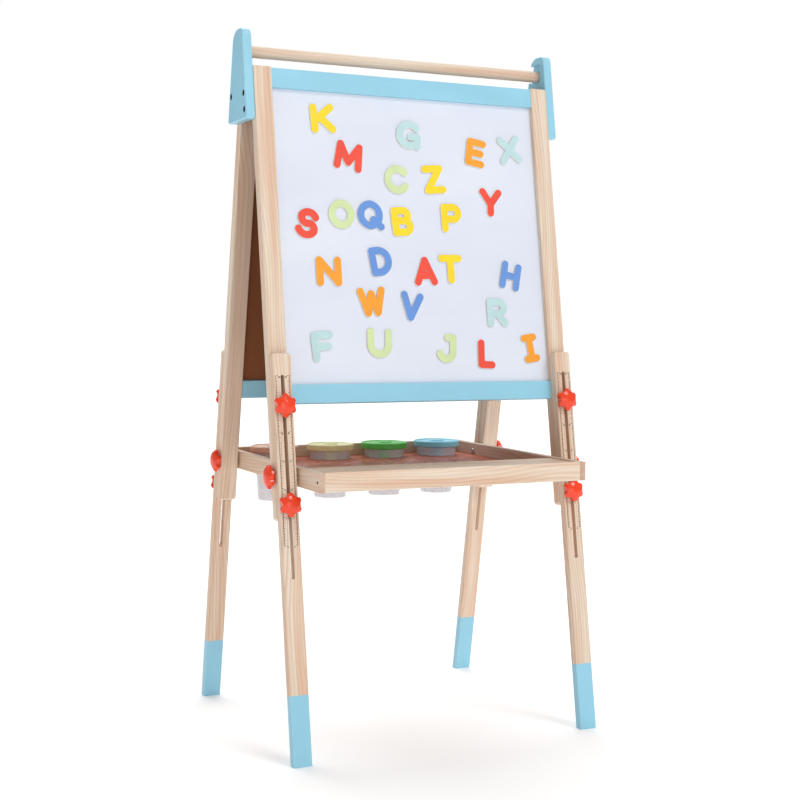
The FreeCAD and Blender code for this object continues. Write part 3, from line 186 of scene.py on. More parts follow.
def pine_pattern(tree, lie, look):
    """Planed pine: returns colour, relief height, the turned position and the turned surface direction."""
    spot, facing = grain_space(tree, lie)
    piece = add(tree, "ShaderNodeObjectInfo")
    shift = add(
        tree, "ShaderNodeVectorMath", {"operation": "SCALE"}, {0: (0.07, 0.06, 2.7), "Scale": piece.outputs["Random"]}
    )
    moved = add(tree, "ShaderNodeVectorMath", {"operation": "ADD"}, {0: spot, 1: shift.outputs[0]}).outputs[0]
    # The trunk's own wander: blotches 100 mm across and 380 mm along push the rings about.
    _, wander = speckle(tree, moved, (100.0, 100.0, 380.0), detail=1.5)
    centred = add(tree, "ShaderNodeVectorMath", {"operation": "SUBTRACT"}, {0: wander, 1: (0.5, 0.5, 0.5)})
    pushed = add(
        tree, "ShaderNodeVectorMath", {"operation": "SCALE"}, {0: centred.outputs[0], "Scale": look.ring_wander}
    )
    warped = add(tree, "ShaderNodeVectorMath", {"operation": "ADD"}, {0: moved, 1: pushed.outputs[0]}).outputs[0]
    # Yearly rings: one turn of the wave is one ring.
    rings = add(
        tree,
        "ShaderNodeTexWave",
        {"wave_type": "RINGS", "rings_direction": "Z", "wave_profile": "SAW"},
        {"Vector": warped, "Scale": math.pi / 10 / look.ring_width, "Distortion": 0.0, "Detail": 0.0},
    ).outputs["Fac"]
    late = add(tree, "ShaderNodeMath", {"operation": "POWER"}, {0: rings, 1: 2.2}, 0)
    bold, _ = speckle(tree, moved, (30.0, 30.0, 500.0), detail=1.0)
    late = add(
        tree,
        "ShaderNodeMath",
        {"operation": "MULTIPLY"},
        {0: late, 1: add(tree, "ShaderNodeMapRange", {}, {0: bold, 1: 0.3, 2: 0.7, 3: 0.25, 4: 1.0}, 0)},
        0,
    )
    # Fibres, drawn 2.2 mm wide because real ones of 0.03 mm would not show.
    fibre, _ = speckle(tree, moved, (2.2, 2.2, 50.0), detail=3.0)
    tint, _ = speckle(tree, moved, (14.0, 14.0, 350.0), detail=1.0)
    colour = add(
        tree,
        "ShaderNodeMix",
        COLOURS,
        {
            0: add(tree, "ShaderNodeMapRange", {}, {0: tint, 1: 0.35, 2: 0.68, 3: 0.0, 4: 1.0}, 0),
            6: look.pine_pale[:],
            7: look.pine_rosy[:],
        },
        2,
    )
    colour = add(
        tree,
        "ShaderNodeMix",
        COLOURS,
        {
            0: add(tree, "ShaderNodeMath", {"operation": "MULTIPLY"}, {0: late, 1: look.ring_strength}, 0),
            6: colour,
            7: look.pine_late[:],
        },
        2,
    )
    streak = add(tree, "ShaderNodeMapRange", {}, {0: fibre, 1: 0.3, 2: 0.75, 3: 0.0, 4: 0.16}, 0)
    colour = add(tree, "ShaderNodeMix", COLOURS, {0: streak, 6: colour, 7: look.pine_late[:]}, 2)
    # Arrises are a little paler, partly from sanding and partly as a painted highlight where the rounded edges catch
    # the light; end grain drinks the lacquer and goes darker.
    colour = add(
        tree,
        "ShaderNodeMix",
        COLOURS,
        {
            0: add(tree, "ShaderNodeMath", {"operation": "MULTIPLY"}, {0: arris_mask(tree, facing), 1: 0.3}, 0),
            6: colour,
            7: look.pine_pale[:],
        },
        2,
    )
    along = add(tree, "ShaderNodeSeparateXYZ", {}, {0: facing}).outputs[2]
    cut = add(
        tree,
        "ShaderNodeMapRange",
        {},
        {0: add(tree, "ShaderNodeMath", {"operation": "ABSOLUTE"}, {0: along}, 0), 1: 0.75, 2: 0.95, 3: 0.0, 4: 0.5},
        0,
    )
    colour = add(tree, "ShaderNodeMix", COLOURS, {0: cut, 6: colour, 7: look.pine_end[:]}, 2)
    relief = add(
        tree,
        "ShaderNodeMath",
        {"operation": "ADD"},
        {
            0: add(tree, "ShaderNodeMath", {"operation": "MULTIPLY"}, {0: fibre, 1: 0.6}, 0),
            1: add(tree, "ShaderNodeMath", {"operation": "MULTIPLY"}, {0: late, 1: 0.4}, 0),
        },
        0,
    )
    return colour, relief, spot, facing


def dress(node, material):
    """Give every material slot of a CAD node one material."""
    body = frame["nodes"][node]
    if not body.data.materials:
        body.data.materials.append(material)
    for place in body.material_slots:
        place.material = material


def as_piece(name, bm, material, body):
    """Turn a bmesh in the row frame into a piece that rides on a body."""
    bmesh.ops.recalc_face_normals(bm, faces=bm.faces)
    mesh = bpy.data.meshes.new(name)
    bm.to_mesh(mesh)
    bm.free()
    mesh.materials.append(material)
    made = bpy.data.objects.new(name, mesh)
    bpy.context.scene.collection.objects.link(made)
    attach(made, body)
    return made


def lathe(bm, centre, profile, segments=64):
    """Closed ring of (radius, height) points turned about a vertical line through centre."""
    rings = []
    for i in range(segments):
        angle = math.tau * i / segments
        rings.append(
            [
                bm.verts.new((centre.x + r * math.cos(angle), centre.y + r * math.sin(angle), centre.z + h))
                for r, h in profile
            ]
        )
    for a, b in zip(rings, rings[1:] + rings[:1]):
        for j in range(len(profile)):
            k = (j + 1) % len(profile)
            bm.faces.new((a[j], b[j], b[k], a[k])).smooth = True


# ---------------------------------------------------------------- sizes and colours a user would change
def colour_setting(name, text, code):
    """A colour that the user can change, with its default as an sRGB hex code."""
    return bpy.props.FloatVectorProperty(
        name=name, description=text, subtype="COLOR", size=4, default=linear(code)
    )


class EaselWood(bpy.types.PropertyGroup):
    """Look of the bare pine."""

    pine_pale: colour_setting("Pale pine", "Early wood, clear lacquered", "#EADBC8")
    pine_rosy: colour_setting("Rosy pine", "Pinkish streaks", "#E0BDA2")
    pine_late: colour_setting("Late wood", "Dark side of a yearly ring", "#B98A68")
    pine_end: colour_setting("End grain", "Ends of the boards", "#A87F63")
    ring_width: bpy.props.FloatProperty(
        name="Ring width", description="Width of one yearly ring", unit="LENGTH", default=5.5 * MM, min=0.001
    )
    ring_wander: bpy.props.FloatProperty(
        name="Ring wander", description="How far the rings stray", unit="LENGTH", default=60 * MM
    )
    ring_strength: bpy.props.FloatProperty(
        name="Ring strength", description="Share of late wood colour in a ring", default=0.6, min=0, max=1
    )


class EaselPaint(bpy.types.PropertyGroup):
    """Look of the painted wood."""

    enamel: colour_setting("Enamel", "Light blue enamel", "#96D0E6")
    enamel_thin: colour_setting("Thin enamel", "Enamel where it runs thin on an edge", "#AEDDEB")
    dip_height: bpy.props.FloatProperty(
        name="Dipped height",
        description="Painted length of each foot, along the leg",
        unit="LENGTH",
        default=123 * MM,
    )


class EaselPlastics(bpy.types.PropertyGroup):
    """Colours of the moulded pieces and of the letters."""

    knob: colour_setting("Knobs", "Red star knobs", "#F5431C")
    cup: colour_setting("Cups", "Frosted cups", "#E6E3E8")
    lid_natural: colour_setting("First lid", "Peach lid", "#F3C6AC")
    lid_yellow: colour_setting("Second lid", "Pale yellow lid", "#F5F3B4")
    lid_green: colour_setting("Third lid", "Green lid", "#5CD65C")
    lid_blue: colour_setting("Fourth lid", "Light blue lid", "#8ADBF4")
    letters_red: colour_setting("Red letters", "Face colour", "#F24C36")
    letters_orange: colour_setting("Orange letters", "Face colour", "#FBA226")
    letters_yellow: colour_setting("Yellow letters", "Face colour", "#FFDC1C")
    letters_green: colour_setting("Green letters", "Face colour", "#D2E4AA")
    letters_aqua: colour_setting("Aqua letters", "Face colour", "#BFDEDF")
    letters_blue: colour_setting("Blue letters", "Face colour", "#6796DB")


class EaselRuler(bpy.types.PropertyGroup):
    """Sizes of the ruler printed on the front legs."""

    low: bpy.props.FloatProperty(
        name="Lowest mark", description="Along the leg from the floor", unit="LENGTH", default=382.5 * MM
    )
    length: bpy.props.FloatProperty(
        name="Length", description="Length of the scale", unit="LENGTH", default=300 * MM
    )
    half_width: bpy.props.FloatProperty(
        name="Half width", description="Slot centre to the edge line", unit="LENGTH", default=12.7 * MM
    )
    line: bpy.props.FloatProperty(
        name="Line", description="Width of a printed line", unit="LENGTH", default=0.9 * MM
    )


class EaselStage(bpy.types.PropertyGroup):
    """Camera and light."""

    camera_place: bpy.props.FloatVectorProperty(
        name="Camera",
        description="Place of the camera",
        subtype="TRANSLATION",
        unit="LENGTH",
        default=(-1.18927, -2.54989, 0.78426),
    )
    yaw: bpy.props.FloatProperty(
        name="Yaw", description="Camera turned from +Y towards +X", unit="ROTATION", default=0.4410125
    )
    pitch: bpy.props.FloatProperty(
        name="Pitch", description="Camera tipped down", unit="ROTATION", default=0.0533659
    )
    roll: bpy.props.FloatProperty(
        name="Roll", description="Camera rolled", unit="ROTATION", default=0.0081487
    )
    lens: bpy.props.FloatProperty(name="Lens", description="Focal length on a 36 mm sensor", default=64.85)
    key: bpy.props.FloatProperty(name="Key light", description="Strength of the main soft light", default=1.0)
    fill: bpy.props.FloatProperty(
        name="Fill light", description="Strength of the low light in front", default=0.5
    )
    back: bpy.props.FloatProperty(
        name="Top light", description="Strength of the soft light above and behind", default=2.0
    )
    sky: bpy.props.FloatProperty(name="Room light", description="Light from all round", default=0.4)


# ---------------------------------------------------------------- wood
def pine(name, lie, look):
    # Pine boards, planed, sanded and clear lacquered: pale rosy wood with soft ring stripes along the
    # piece, fibres that catch the light a little, and a satin sheen.
    made, tree = start(name)
    colour, relief, _, _ = pine_pattern(tree, lie, look)
    finish_with(
        tree,
        {
            "Base Color": colour,
            "Roughness": add(tree, "ShaderNodeMapRange", {}, {0: relief, 1: 0.2, 2: 0.8, 3: 0.46, 4: 0.6}, 0),
            "IOR": COATING_IOR,
            "Normal": add(tree, "ShaderNodeBump", {}, {"Height": relief, "Distance": 0.12 * MM, "Strength": 0.6}, 0),
        },
    )
    return made


def enamel_parts(tree, spot, facing, relief, paint):
    """Colour, roughness and height of sprayed enamel over planed pine."""
    peel, _ = speckle(tree, spot, (4.0, 4.0, 4.0), detail=1.0)
    cloud, _ = speckle(tree, spot, (90.0, 90.0, 140.0), detail=2.0)
    worn, _ = speckle(tree, spot, (12.0, 12.0, 30.0), detail=2.0)
    deep = [c * 0.93 for c in paint.enamel[:3]] + [1.0]
    colour = add(
        tree,
        "ShaderNodeMix",
        COLOURS,
        {
            0: add(tree, "ShaderNodeMapRange", {}, {0: cloud, 1: 0.35, 2: 0.65, 3: 0.0, 4: 1.0}, 0),
            6: deep,
            7: paint.enamel[:],
        },
        2,
    )
    edge = add(
        tree,
        "ShaderNodeMath",
        {"operation": "MULTIPLY"},
        {
            0: arris_mask(tree, facing),
            1: add(tree, "ShaderNodeMapRange", {}, {0: worn, 1: 0.35, 2: 0.7, 3: 0.15, 4: 0.8}, 0),
        },
        0,
    )
    colour = add(tree, "ShaderNodeMix", COLOURS, {0: edge, 6: colour, 7: paint.enamel_thin[:]}, 2)
    rough = add(tree, "ShaderNodeMapRange", {}, {0: peel, 1: 0.3, 2: 0.7, 3: 0.36, 4: 0.46}, 0)
    height = add(
        tree,
        "ShaderNodeMath",
        {"operation": "ADD"},
        {
            0: add(tree, "ShaderNodeMath", {"operation": "MULTIPLY"}, {0: peel, 1: 0.35}, 0),
            1: add(tree, "ShaderNodeMath", {"operation": "MULTIPLY"}, {0: relief, 1: 0.3}, 0),
        },
        0,
    )
    return colour, rough, height


def painted_pine(name, lie, wood, paint):
    # Water-based enamel sprayed on pine: even light blue with a satin gloss, the faintest orange peel and
    # grain telegraphing through, and paler worn arrises.
    made, tree = start(name)
    _, relief, spot, facing = pine_pattern(tree, lie, wood)
    colour, rough, height = enamel_parts(tree, spot, facing, relief, paint)
    finish_with(
        tree,
        {
            "Base Color": colour,
            "Roughness": rough,
            "IOR": COATING_IOR,
            "Normal": add(tree, "ShaderNodeBump", {}, {"Height": height, "Distance": 0.1 * MM, "Strength": 0.6}, 0),
        },
    )
    return made


def dipped_pine(name, side, wood, paint):
    # Pine leg with its foot dipped in enamel: bare lacquered wood above a crisp level paint line.
    made, tree = start(name)
    bare, relief, spot, facing = pine_pattern(tree, side, wood)
    colour, rough, height = enamel_parts(tree, spot, facing, relief, paint)
    along = add(tree, "ShaderNodeSeparateXYZ", {}, {0: spot}).outputs[2]
    toward = -1 if side == "front" else 1
    line = paint.dip_height - toward * FOOT_Y[side] * math.sin(LEAN[side])
    dipped = add(
        tree, "ShaderNodeMapRange", {}, {0: along, 1: line + 0.3 * MM, 2: line - 0.3 * MM, 3: 0.0, 4: 1.0}, 0
    )
    finish_with(
        tree,
        {
            "Base Color": add(tree, "ShaderNodeMix", COLOURS, {0: dipped, 6: bare, 7: colour}, 2),
            "Roughness": add(tree, "ShaderNodeMapRange", {}, {0: dipped, 1: 0.0, 2: 1.0, 3: 0.53, 4: 0.4}, 0),
            "IOR": COATING_IOR,
            "Normal": add(
                tree,
                "ShaderNodeBump",
                {},
                {
                    "Height": add(
                        tree,
                        "ShaderNodeMath",
                        {"operation": "ADD"},
                        {
                            0: relief,
                            1: add(tree, "ShaderNodeMath", {"operation": "MULTIPLY"}, {0: dipped, 1: 0.8}, 0),
                        },
                        0,
                    ),
                    "Distance": 0.12 * MM,
                    "Strength": 0.6,
                },
                0,
            ),
        },
    )
    return made


class EASEL_OT_stiles(bpy.types.Operator):
    """Pine finish on the eight long uprights: four stiles and four dipped legs"""

    bl_idname = "easel.stiles"
    bl_label = "Stiles and legs"

    def execute(self, context):
        wood, paint = context.scene.easel_wood, context.scene.easel_paint
        for side in ("front", "rear"):
            bare = pine(f"lacquered_pine_{side}", side, wood)
            dipped = dipped_pine(f"dipped_pine_{side}", side, wood, paint)
            for hand in SIDES:
                dress(f"{side}_stile_{hand}", bare)
                dress(f"{side}_leg_{hand}", dipped)
        return {"FINISHED"}


class EASEL_OT_rails(bpy.types.Operator):
    """Blue enamel on the four rails and the two head cheeks"""

    bl_idname = "easel.rails"
    bl_label = "Rails and cheeks"

    def execute(self, context):
        wood, paint = context.scene.easel_wood, context.scene.easel_paint
        railing = painted_pine("enamelled_pine_rail", "across", wood, paint)
        cheek = painted_pine("enamelled_pine_cheek", "upright", wood, paint)
        for side in ("front", "rear"):
            for level in ("top", "bottom"):
                dress(f"{side}_{level}_rail", railing)
        for hand in SIDES:
            dress(f"head_cheek_{hand}", cheek)
        return {"FINISHED"}


class EASEL_OT_rod(bpy.types.Operator):
    """Turned pine finish on the paper rod"""

    bl_idname = "easel.rod"
    bl_label = "Paper rod"

    def execute(self, context):
        dress("paper_rod", pine("turned_pine", "across", context.scene.easel_wood))
        return {"FINISHED"}


# ---------------------------------------------------------------- boards
def outward(tree, direction):
    """1 where a surface faces the given direction, 0 elsewhere."""
    place = add(tree, "ShaderNodeTexCoord")
    facing = add(
        tree, "ShaderNodeVectorMath", {"operation": "DOT_PRODUCT"}, {0: place.outputs["Normal"], 1: direction}
    )
    return (
        add(tree, "ShaderNodeMapRange", {}, {0: facing.outputs["Value"], 1: 0.6, 2: 0.8, 3: 0.0, 4: 1.0}, 0),
        place.outputs["Object"],
    )


def out_of(side):
    """Direction a board's writing face looks, in the row frame."""
    lean, toward = LEAN[side], -1 if side == "front" else 1
    return (0, toward * math.cos(lean), math.sin(lean))


class EASEL_OT_boards(bpy.types.Operator):
    """Writing faces: glossy whiteboard film in front, matt chalkboard paint behind"""

    bl_idname = "easel.boards"
    bl_label = "Boards"

    def execute(self, context):
        # Whiteboard: enamel film rolled on hardboard. Cool white, smooth and glossy, with faint haze
        # where it is wiped; the hardboard's pressed brown back shows from inside.
        made, tree = start("whiteboard_film")
        face, spot = outward(tree, out_of("front"))
        haze, _ = speckle(tree, spot, (250.0, 250.0, 120.0), detail=3.0)
        fluff, _ = speckle(tree, spot, (3.0, 3.0, 3.0), detail=3.0)
        white = add(
            tree,
            "ShaderNodeMix",
            COLOURS,
            {
                0: add(tree, "ShaderNodeMapRange", {}, {0: haze, 1: 0.3, 2: 0.7, 3: 0.0, 4: 1.0}, 0),
                6: linear("#DCE1EE"),
                7: linear("#E2E7F2"),
            },
            2,
        )
        brown = add(
            tree, "ShaderNodeMix", COLOURS, {0: fluff, 6: linear(HARDBOARD_DARK), 7: linear(HARDBOARD_PALE)}, 2
        )
        finish_with(
            tree,
            {
                "Base Color": add(tree, "ShaderNodeMix", COLOURS, {0: face, 6: brown, 7: white}, 2),
                "Roughness": add(
                    tree,
                    "ShaderNodeMath",
                    {"operation": "ADD"},
                    {
                        0: add(tree, "ShaderNodeMapRange", {}, {0: face, 1: 0.0, 2: 1.0, 3: 0.6, 4: 0.16}, 0),
                        1: add(tree, "ShaderNodeMapRange", {}, {0: haze, 1: 0.3, 2: 0.7, 3: 0.0, 4: 0.08}, 0),
                    },
                    0,
                ),
                "IOR": COATING_IOR,
                "Normal": add(
                    tree,
                    "ShaderNodeBump",
                    {},
                    {
                        "Height": add(
                            tree,
                            "ShaderNodeMath",
                            {"operation": "MULTIPLY"},
                            {
                                0: fluff,
                                1: add(tree, "ShaderNodeMath", {"operation": "SUBTRACT"}, {0: 1.0, 1: face}, 0),
                            },
                            0,
                        ),
                        "Distance": 0.2 * MM,
                        "Strength": 1.0,
                    },
                    0,
                ),
            },
        )
        dress("whiteboard", made)
        # Chalkboard: slate-filled paint rolled on hardboard. Nearly black, dead matt, with a fine tooth
        # and a ghost of wiped chalk; the back is the same pressed hardboard.
        made, tree = start("chalkboard_paint")
        face, spot = outward(tree, out_of("rear"))
        tooth, _ = speckle(tree, spot, (2.0, 2.0, 2.0), detail=3.0)
        ghost, _ = speckle(tree, spot, (160.0, 160.0, 50.0), detail=4.0)
        slate = add(
            tree,
            "ShaderNodeMix",
            COLOURS,
            {
                0: add(tree, "ShaderNodeMapRange", {}, {0: ghost, 1: 0.45, 2: 0.8, 3: 0.0, 4: 0.35}, 0),
                6: linear("#2B2E2E"),
                7: linear("#5E6361"),
            },
            2,
        )
        slate = add(
            tree,
            "ShaderNodeMix",
            COLOURS,
            {
                0: add(tree, "ShaderNodeMapRange", {}, {0: tooth, 1: 0.5, 2: 0.8, 3: 0.0, 4: 0.2}, 0),
                6: slate,
                7: linear("#6B706E"),
            },
            2,
        )
        brown = add(
            tree, "ShaderNodeMix", COLOURS, {0: tooth, 6: linear(HARDBOARD_DARK), 7: linear(HARDBOARD_PALE)}, 2
        )
        finish_with(
            tree,
            {
                "Base Color": add(tree, "ShaderNodeMix", COLOURS, {0: face, 6: brown, 7: slate}, 2),
                "Roughness": add(tree, "ShaderNodeMapRange", {}, {0: tooth, 1: 0.3, 2: 0.7, 3: 0.78, 4: 0.92}, 0),
                "IOR": COATING_IOR,
                "Normal": add(
                    tree, "ShaderNodeBump", {}, {"Height": tooth, "Distance": 0.12 * MM, "Strength": 0.8}, 0
                ),
            },
        )
        dress("chalkboard", made)
        return {"FINISHED"}


# ---------------------------------------------------------------- tray
class EASEL_OT_tray(bpy.types.Operator):
    """Pine boards and glossy red-brown floor of the tray"""

    bl_idname = "easel.tray"
    bl_label = "Tray"

    def execute(self, context):
        wood = context.scene.easel_wood
        sideways = pine("tray_pine_across", "across", wood)
        lengthways = pine("tray_pine_level", "level", wood)
        for node in ("tray_front_board", "tray_rear_board", "tray_ledge"):
            dress(node, sideways)
        for hand in SIDES:
            dress(f"tray_side_{hand}", lengthways)
        # Tray floor: melamine foil pressed on hardboard. Warm red-brown, wipe-clean gloss with faint
        # scuffs; dull pressed back below.
        made, tree = start("tray_foil")
        face, spot = outward(tree, (0, 0, 1))
        scuff, _ = speckle(tree, spot, (50.0, 20.0, 50.0), detail=4.0)
        fluff, _ = speckle(tree, spot, (3.0, 3.0, 3.0), detail=3.0)
        foil = add(
            tree,
            "ShaderNodeMix",
            COLOURS,
            {
                0: add(tree, "ShaderNodeMapRange", {}, {0: scuff, 1: 0.3, 2: 0.7, 3: 0.0, 4: 1.0}, 0),
                6: linear("#B85A41"),
                7: linear("#BE6248"),
            },
            2,
        )
        brown = add(
            tree, "ShaderNodeMix", COLOURS, {0: fluff, 6: linear(HARDBOARD_DARK), 7: linear(HARDBOARD_PALE)}, 2
        )
        finish_with(
            tree,
            {
                "Base Color": add(tree, "ShaderNodeMix", COLOURS, {0: face, 6: brown, 7: foil}, 2),
                "Roughness": add(
                    tree,
                    "ShaderNodeMath",
                    {"operation": "ADD"},
                    {
                        0: add(tree, "ShaderNodeMapRange", {}, {0: face, 1: 0.0, 2: 1.0, 3: 0.6, 4: 0.2}, 0),
                        1: add(tree, "ShaderNodeMapRange", {}, {0: scuff, 1: 0.4, 2: 0.7, 3: 0.0, 4: 0.12}, 0),
                    },
                    0,
                ),
                "IOR": COATING_IOR,
                "Normal": add(
                    tree,
                    "ShaderNodeBump",
                    {},
                    {
                        "Height": add(
                            tree,
                            "ShaderNodeMath",
                            {"operation": "MULTIPLY"},
                            {
                                0: fluff,
                                1: add(tree, "ShaderNodeMath", {"operation": "SUBTRACT"}, {0: 1.0, 1: face}, 0),
                            },
                            0,
                        ),
                        "Distance": 0.2 * MM,
                        "Strength": 1.0,
                    },
                    0,
                ),
            },
        )
        dress("tray_floor", made)
        return {"FINISHED"}


# ---------------------------------------------------------------- knobs and metal
class EASEL_OT_knobs(bpy.types.Operator):
    """Moulded plastic finish on the twelve star knobs"""

    bl_idname = "easel.knobs"
    bl_label = "Star knobs"

    def execute(self, context):
        # Star knobs: ABS, injection moulded. Bright red-orange with a wet-looking gloss, faint flow clouds
        # and a handled, slightly duller surface.
        made, tree = start("moulded_abs_red")
        spot = add(tree, "ShaderNodeTexCoord").outputs["Object"]
        flow, _ = speckle(tree, spot, (12.0, 12.0, 12.0), detail=2.0)
        grease, _ = speckle(tree, spot, (5.0, 5.0, 5.0), detail=3.0)
        deep = [c * 0.92 for c in context.scene.easel_plastics.knob[:3]] + [1.0]
        finish_with(
            tree,
            {
                "Base Color": add(
                    tree,
                    "ShaderNodeMix",
                    COLOURS,
                    {
                        0: add(tree, "ShaderNodeMapRange", {}, {0: flow, 1: 0.35, 2: 0.65, 3: 0.0, 4: 1.0}, 0),
                        6: deep,
                        7: context.scene.easel_plastics.knob[:],
                    },
                    2,
                ),
                "Roughness": add(tree, "ShaderNodeMapRange", {}, {0: grease, 1: 0.3, 2: 0.7, 3: 0.1, 4: 0.2}, 0),
                "IOR": 1.53,
                "Normal": add(
                    tree, "ShaderNodeBump", {}, {"Height": flow, "Distance": 0.05 * MM, "Strength": 0.3}, 0
                ),
            },
        )
        for hand in SIDES:
            for node in ("front_lower", "front_upper", "rear_lower", "rear_upper", "tray_front", "tray_rear"):
                dress(f"{node}_knob_{hand}", made)
        return {"FINISHED"}


class EASEL_OT_metal(bpy.types.Operator):
    """Zinc-plated bolts and black screws"""

    bl_idname = "easel.metal"
    bl_label = "Bolts and screws"

    def execute(self, context):
        # Bolts: zinc-plated steel, bright dipped. Cool silver with fine tumbling marks.
        zinc, tree = start("zinc_plated_steel")
        spot = add(tree, "ShaderNodeTexCoord").outputs["Object"]
        tumble, _ = speckle(tree, spot, (1.5, 1.5, 1.5), detail=3.0)
        finish_with(
            tree,
            {
                "Base Color": add(
                    tree, "ShaderNodeMix", COLOURS, {0: tumble, 6: linear("#B9BBBD"), 7: linear("#D6D7D8")}, 2
                ),
                "Metallic": 1.0,
                "Roughness": add(tree, "ShaderNodeMapRange", {}, {0: tumble, 1: 0.3, 2: 0.7, 3: 0.25, 4: 0.42}, 0),
                "Normal": add(
                    tree, "ShaderNodeBump", {}, {"Height": tumble, "Distance": 0.03 * MM, "Strength": 0.5}, 0
                ),
            },
        )
        # Screws: steel, black oxide finish. Dark with a dull oily shine, lighter where the key has rubbed.
        black, tree = start("black_oxide_steel")
        spot = add(tree, "ShaderNodeTexCoord").outputs["Object"]
        rub, _ = speckle(tree, spot, (2.0, 2.0, 2.0), detail=3.0)
        finish_with(
            tree,
            {
                "Base Color": add(
                    tree,
                    "ShaderNodeMix",
                    COLOURS,
                    {
                        0: add(tree, "ShaderNodeMapRange", {}, {0: rub, 1: 0.5, 2: 0.8, 3: 0.0, 4: 0.6}, 0),
                        6: linear("#37332F"),
                        7: linear("#6A645E"),
                    },
                    2,
                ),
                "Metallic": 1.0,
                "Roughness": add(tree, "ShaderNodeMapRange", {}, {0: rub, 1: 0.3, 2: 0.7, 3: 0.38, 4: 0.55}, 0),
                "Normal": add(tree, "ShaderNodeBump", {}, {"Height": rub, "Distance": 0.03 * MM, "Strength": 0.5}, 0),
            },
        )
        for hand in SIDES:
            for node in ("front_clamp_bolts", "rear_clamp_bolts"):
                dress(f"{node}_{hand}", zinc)
            dress(f"hinge_bolt_{hand}", black)
        for node in ("rear_tray_studs", "tray_bolts"):
            dress(node, zinc)
        for node in ("cheek_screws", "tray_screws"):
            dress(node, black)
        return {"FINISHED"}


# ---------------------------------------------------------------- cups and lids
def polyethylene(name, colour):
    # Lids: low-density polyethylene, injection moulded. Waxy colour with a soft sheen and faint sink marks.
    made, tree = start(name)
    spot = add(tree, "ShaderNodeTexCoord").outputs["Object"]
    sink, _ = speckle(tree, spot, (20.0, 20.0, 20.0), detail=2.0)
    fine, _ = speckle(tree, spot, (3.0, 3.0, 3.0), detail=2.0)
    deep = [c * 0.9 for c in colour[:3]] + [1.0]
    finish_with(
        tree,
        {
            "Base Color": add(
                tree,
                "ShaderNodeMix",
                COLOURS,
                {
                    0: add(tree, "ShaderNodeMapRange", {}, {0: sink, 1: 0.35, 2: 0.65, 3: 0.0, 4: 1.0}, 0),
                    6: deep,
                    7: colour[:],
                },
                2,
            ),
            "Roughness": add(tree, "ShaderNodeMapRange", {}, {0: fine, 1: 0.3, 2: 0.7, 3: 0.3, 4: 0.42}, 0),
            "IOR": 1.51,
            "Normal": add(tree, "ShaderNodeBump", {}, {"Height": sink, "Distance": 0.15 * MM, "Strength": 0.4}, 0),
        },
    )
    return made


class EASEL_OT_cups(bpy.types.Operator):
    """Frosted cups, coloured lids and the tube under each lid"""

    bl_idname = "easel.cups"
    bl_label = "Cups and lids"

    def execute(self, context):
        plastics = context.scene.easel_plastics
        # Cups: polypropylene, thin-wall injection moulded. Clear but milky, with soft blurred reflections.
        made, tree = start("moulded_polypropylene")
        spot = add(tree, "ShaderNodeTexCoord").outputs["Object"]
        milk, _ = speckle(tree, spot, (30.0, 30.0, 12.0), detail=2.0)
        finish_with(
            tree,
            {
                "Base Color": add(
                    tree,
                    "ShaderNodeMix",
                    COLOURS,
                    {0: milk, 6: [c * 0.94 for c in plastics.cup[:3]] + [1.0], 7: plastics.cup[:]},
                    2,
                ),
                "Roughness": add(tree, "ShaderNodeMapRange", {}, {0: milk, 1: 0.3, 2: 0.7, 3: 0.22, 4: 0.32}, 0),
                "IOR": 1.49,
                "Alpha": 0.36,
                "Normal": add(
                    tree, "ShaderNodeBump", {}, {"Height": milk, "Distance": 0.04 * MM, "Strength": 0.2}, 0
                ),
            },
        )
        for i, shade in zip(CUPS, ("natural", "yellow", "green", "blue")):
            dress(f"cup_{i}", made)
            colour = getattr(plastics, "lid_" + shade)
            lid = polyethylene(f"moulded_polyethylene_{shade}", colour)
            dress(f"lid_{i}", lid)
            low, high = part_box(f"lid_{i}")
            middle = Vector(((low.x + high.x) / 2, (low.y + high.y) / 2, high.z))
            foot, rounding = TUBE_RADIUS * TUBE_TAPER, TUBE_LIP * TUBE_ROUND
            bm = bmesh.new()
            lathe(
                bm,
                middle,
                [
                    (TUBE_RADIUS, TUBE_TOP),
                    (foot, -TUBE_LENGTH + TUBE_LIP),
                    (foot - rounding, -TUBE_LENGTH),
                    (foot - TUBE_WALL + rounding, -TUBE_LENGTH),
                    (foot - TUBE_WALL, -TUBE_LENGTH + TUBE_LIP),
                    (TUBE_RADIUS - TUBE_WALL, TUBE_TOP),
                ],
            )
            as_piece(f"lid_tube_{i}", bm, lid, f"lid_{i}")
        return {"FINISHED"}


